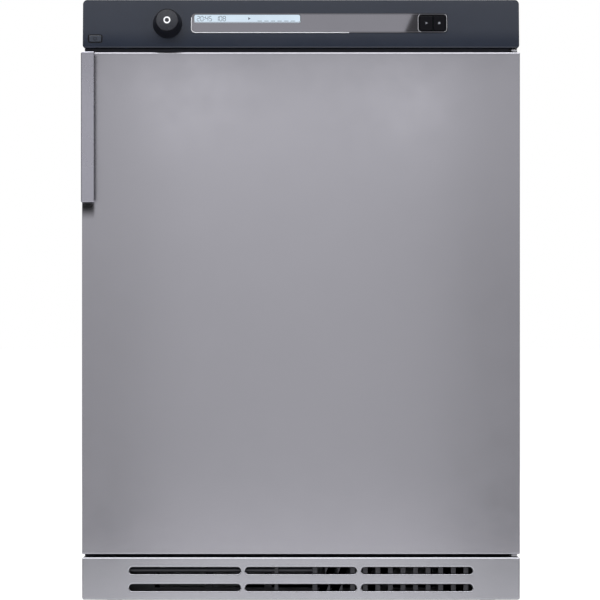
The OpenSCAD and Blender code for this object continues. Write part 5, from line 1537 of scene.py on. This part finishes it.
    def build(self) -> None:
        """Builds and dresses the cabinet."""
        self.side_panel(-1, "side_panel_left")
        self.side_panel(1, "side_panel_right")
        softened("worktop", Paints.top, 2.0, 4)
        dress("rear_panel", Paints.sheet)
        softened("rear_duct_cover", Paints.sheet, 1.6, 3)
        softened("terminal_box", Paints.box, 0.8)
        self.terminals()
        dress("front_frame", Paints.front)
        dress("front_bulkhead", Paints.bulkhead)
        dress("base_pan", Paints.base)
        dress("fasteners", Paints.zinc)
        self.screw_heads()
        for end in ("front", "rear"):
            for hand in ("left", "right"):
                self.foot(f"foot_{end}_{hand}", f"{hand}_{end}_foot")


@dataclass
class Drum:
    """The drum with its neck, beads, rear wall, lifters and shaft.

    Attributes:
        centre: the axis's level.
        neck: the neck's radius.
        body: the drum's radius.
        front: the neck's front edge along Y.
        step: where the neck ends.
        rear: the rear edge.
        shoulder: radius of the rounds between neck and body.
        bead: width and height of a bead.
        beads: places of the beads along Y.
    """

    centre: float = 498.9
    neck: float = 245.0
    body: float = 285.0
    front: float = -222.8
    step: float = -190.8
    rear: float = 240.3
    shoulder: float = 4.0
    bead: Pair = (14.0, 1.6)
    beads: list[float] = field(default_factory=lambda: [-150.0, -110.0, 110.0, 150.0, 190.0])

    def shell(self) -> None:
        """Makes the drum's sheet: neck, rounded shoulder and a body with beads pressed outwards.

        A bead is a cosine hump.
        """
        r, half, rise = self.shoulder, self.bead[0] / 2, self.bead[1] / 2
        profile = [(self.neck - 2.0, self.front), (self.neck - 0.4, self.front + 0.4),
                   (self.neck, self.front + 1.6), (self.neck, self.step - r)]
        turn = np.radians(np.linspace(0, 90, 6))
        profile += [(self.neck + r - r * math.cos(a), self.step - r + r * math.sin(a)) for a in turn]
        profile += [(self.body - r + r * math.sin(a), self.step + r - r * math.cos(a)) for a in turn]
        humps = [np.linspace(b - half, b + half, 9) for b in self.beads]
        y = np.concatenate([[self.step + 6], *humps, [self.rear]])
        hump = sum(np.where(np.abs(y - b) < half, rise * (1 + np.cos(np.pi * (y - b) / half)), 0.0)
                   for b in self.beads)
        profile += [(float(self.body + h), float(v)) for v, h in zip(y, hump)]
        sheet = Surface().grid(lathe(profile, (0.0, 0.0, self.centre), steps=180), wrap=True)
        sheet.make("drum_sheet", "drum", Paints.drum, ("drum_shell",), wall=0.9)

    def build(self) -> None:
        """Builds and dresses the drum."""
        self.shell()
        dress("drum_rear_wall", Paints.wall)
        softened("drum_lifters", Paints.lifter, 1.2, 3)
        dress("drum_shaft", Paints.axle)


@dataclass
class Inside:
    """Everything between the drum and the cabinet: drive, fan, ducts, heater, lamp and wiring."""

    finishes: dict[str, Finish] = field(default_factory=lambda: {
        "drum_felt_seals": Paints.felt, "rear_bearing": Paints.bearing, "heater_element": Paints.heater,
        "sensors": Paints.sensor, "motor_housing": Paints.motor, "motor_bracket": Paints.bracket,
        "run_capacitor": Paints.can, "fan_housing": Paints.duct, "front_air_duct": Paints.duct,
        "exhaust_duct": Paints.spigot, "drum_lamp": Paints.ceramic, "lamp_lens": Paints.glass,
        "drive_belt": Paints.belt, "roller_axles": Paints.axle, "wiring_loom": Paints.cable,
        "motor_rotor": Paints.rotor, "fan_impeller": Paints.fan, "idler_pulley": Paints.pulley,
        "tension_arm": Paints.bracket, "roller_left": Paints.roller, "roller_right": Paints.roller})

    def spigot(self) -> None:
        """Makes the spigot's beads, which hold a hose clip: three low rings."""
        rings = Surface()
        for y in (300.0, 310.0, 318.0):
            bead = [(49.0, y - 2.2), (50.15, y - 1.6), (50.55, y), (50.15, y + 1.6), (49.0, y + 2.2)]
            rings.grid(lathe(bead + bead[:1], (-140.0, 0.0, 92.393), steps=96), wrap=True)
        rings.make("spigot_beads", "cabinet", Paints.spigot)

    def build(self) -> None:
        """Dresses the inner pieces."""
        for node, finish in self.finishes.items():
            dress(node, finish)
        self.spigot()


@dataclass
class LintFilter:
    """The lint filter that slides in the door's plug."""

    def build(self) -> None:
        """Rounds the filter's frame and dresses its weave."""
        softened("filter_frame", Paints.filter, 0.8)
        dress("filter_mesh", Paints.mesh)


def main() -> None:
    """Builds the studio and every sub-assembly in order."""
    logging.basicConfig(level=logging.INFO, format="%(message)s", stream=sys.stdout)
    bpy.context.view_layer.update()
    for part in (Studio(), Cabinet(), Door(), Plinth(), ControlPanel(), Drum(), Inside(), LintFilter()):
        log.info("building %s", type(part).__name__)
        part.build()


if __name__ == "__main__":
    main()
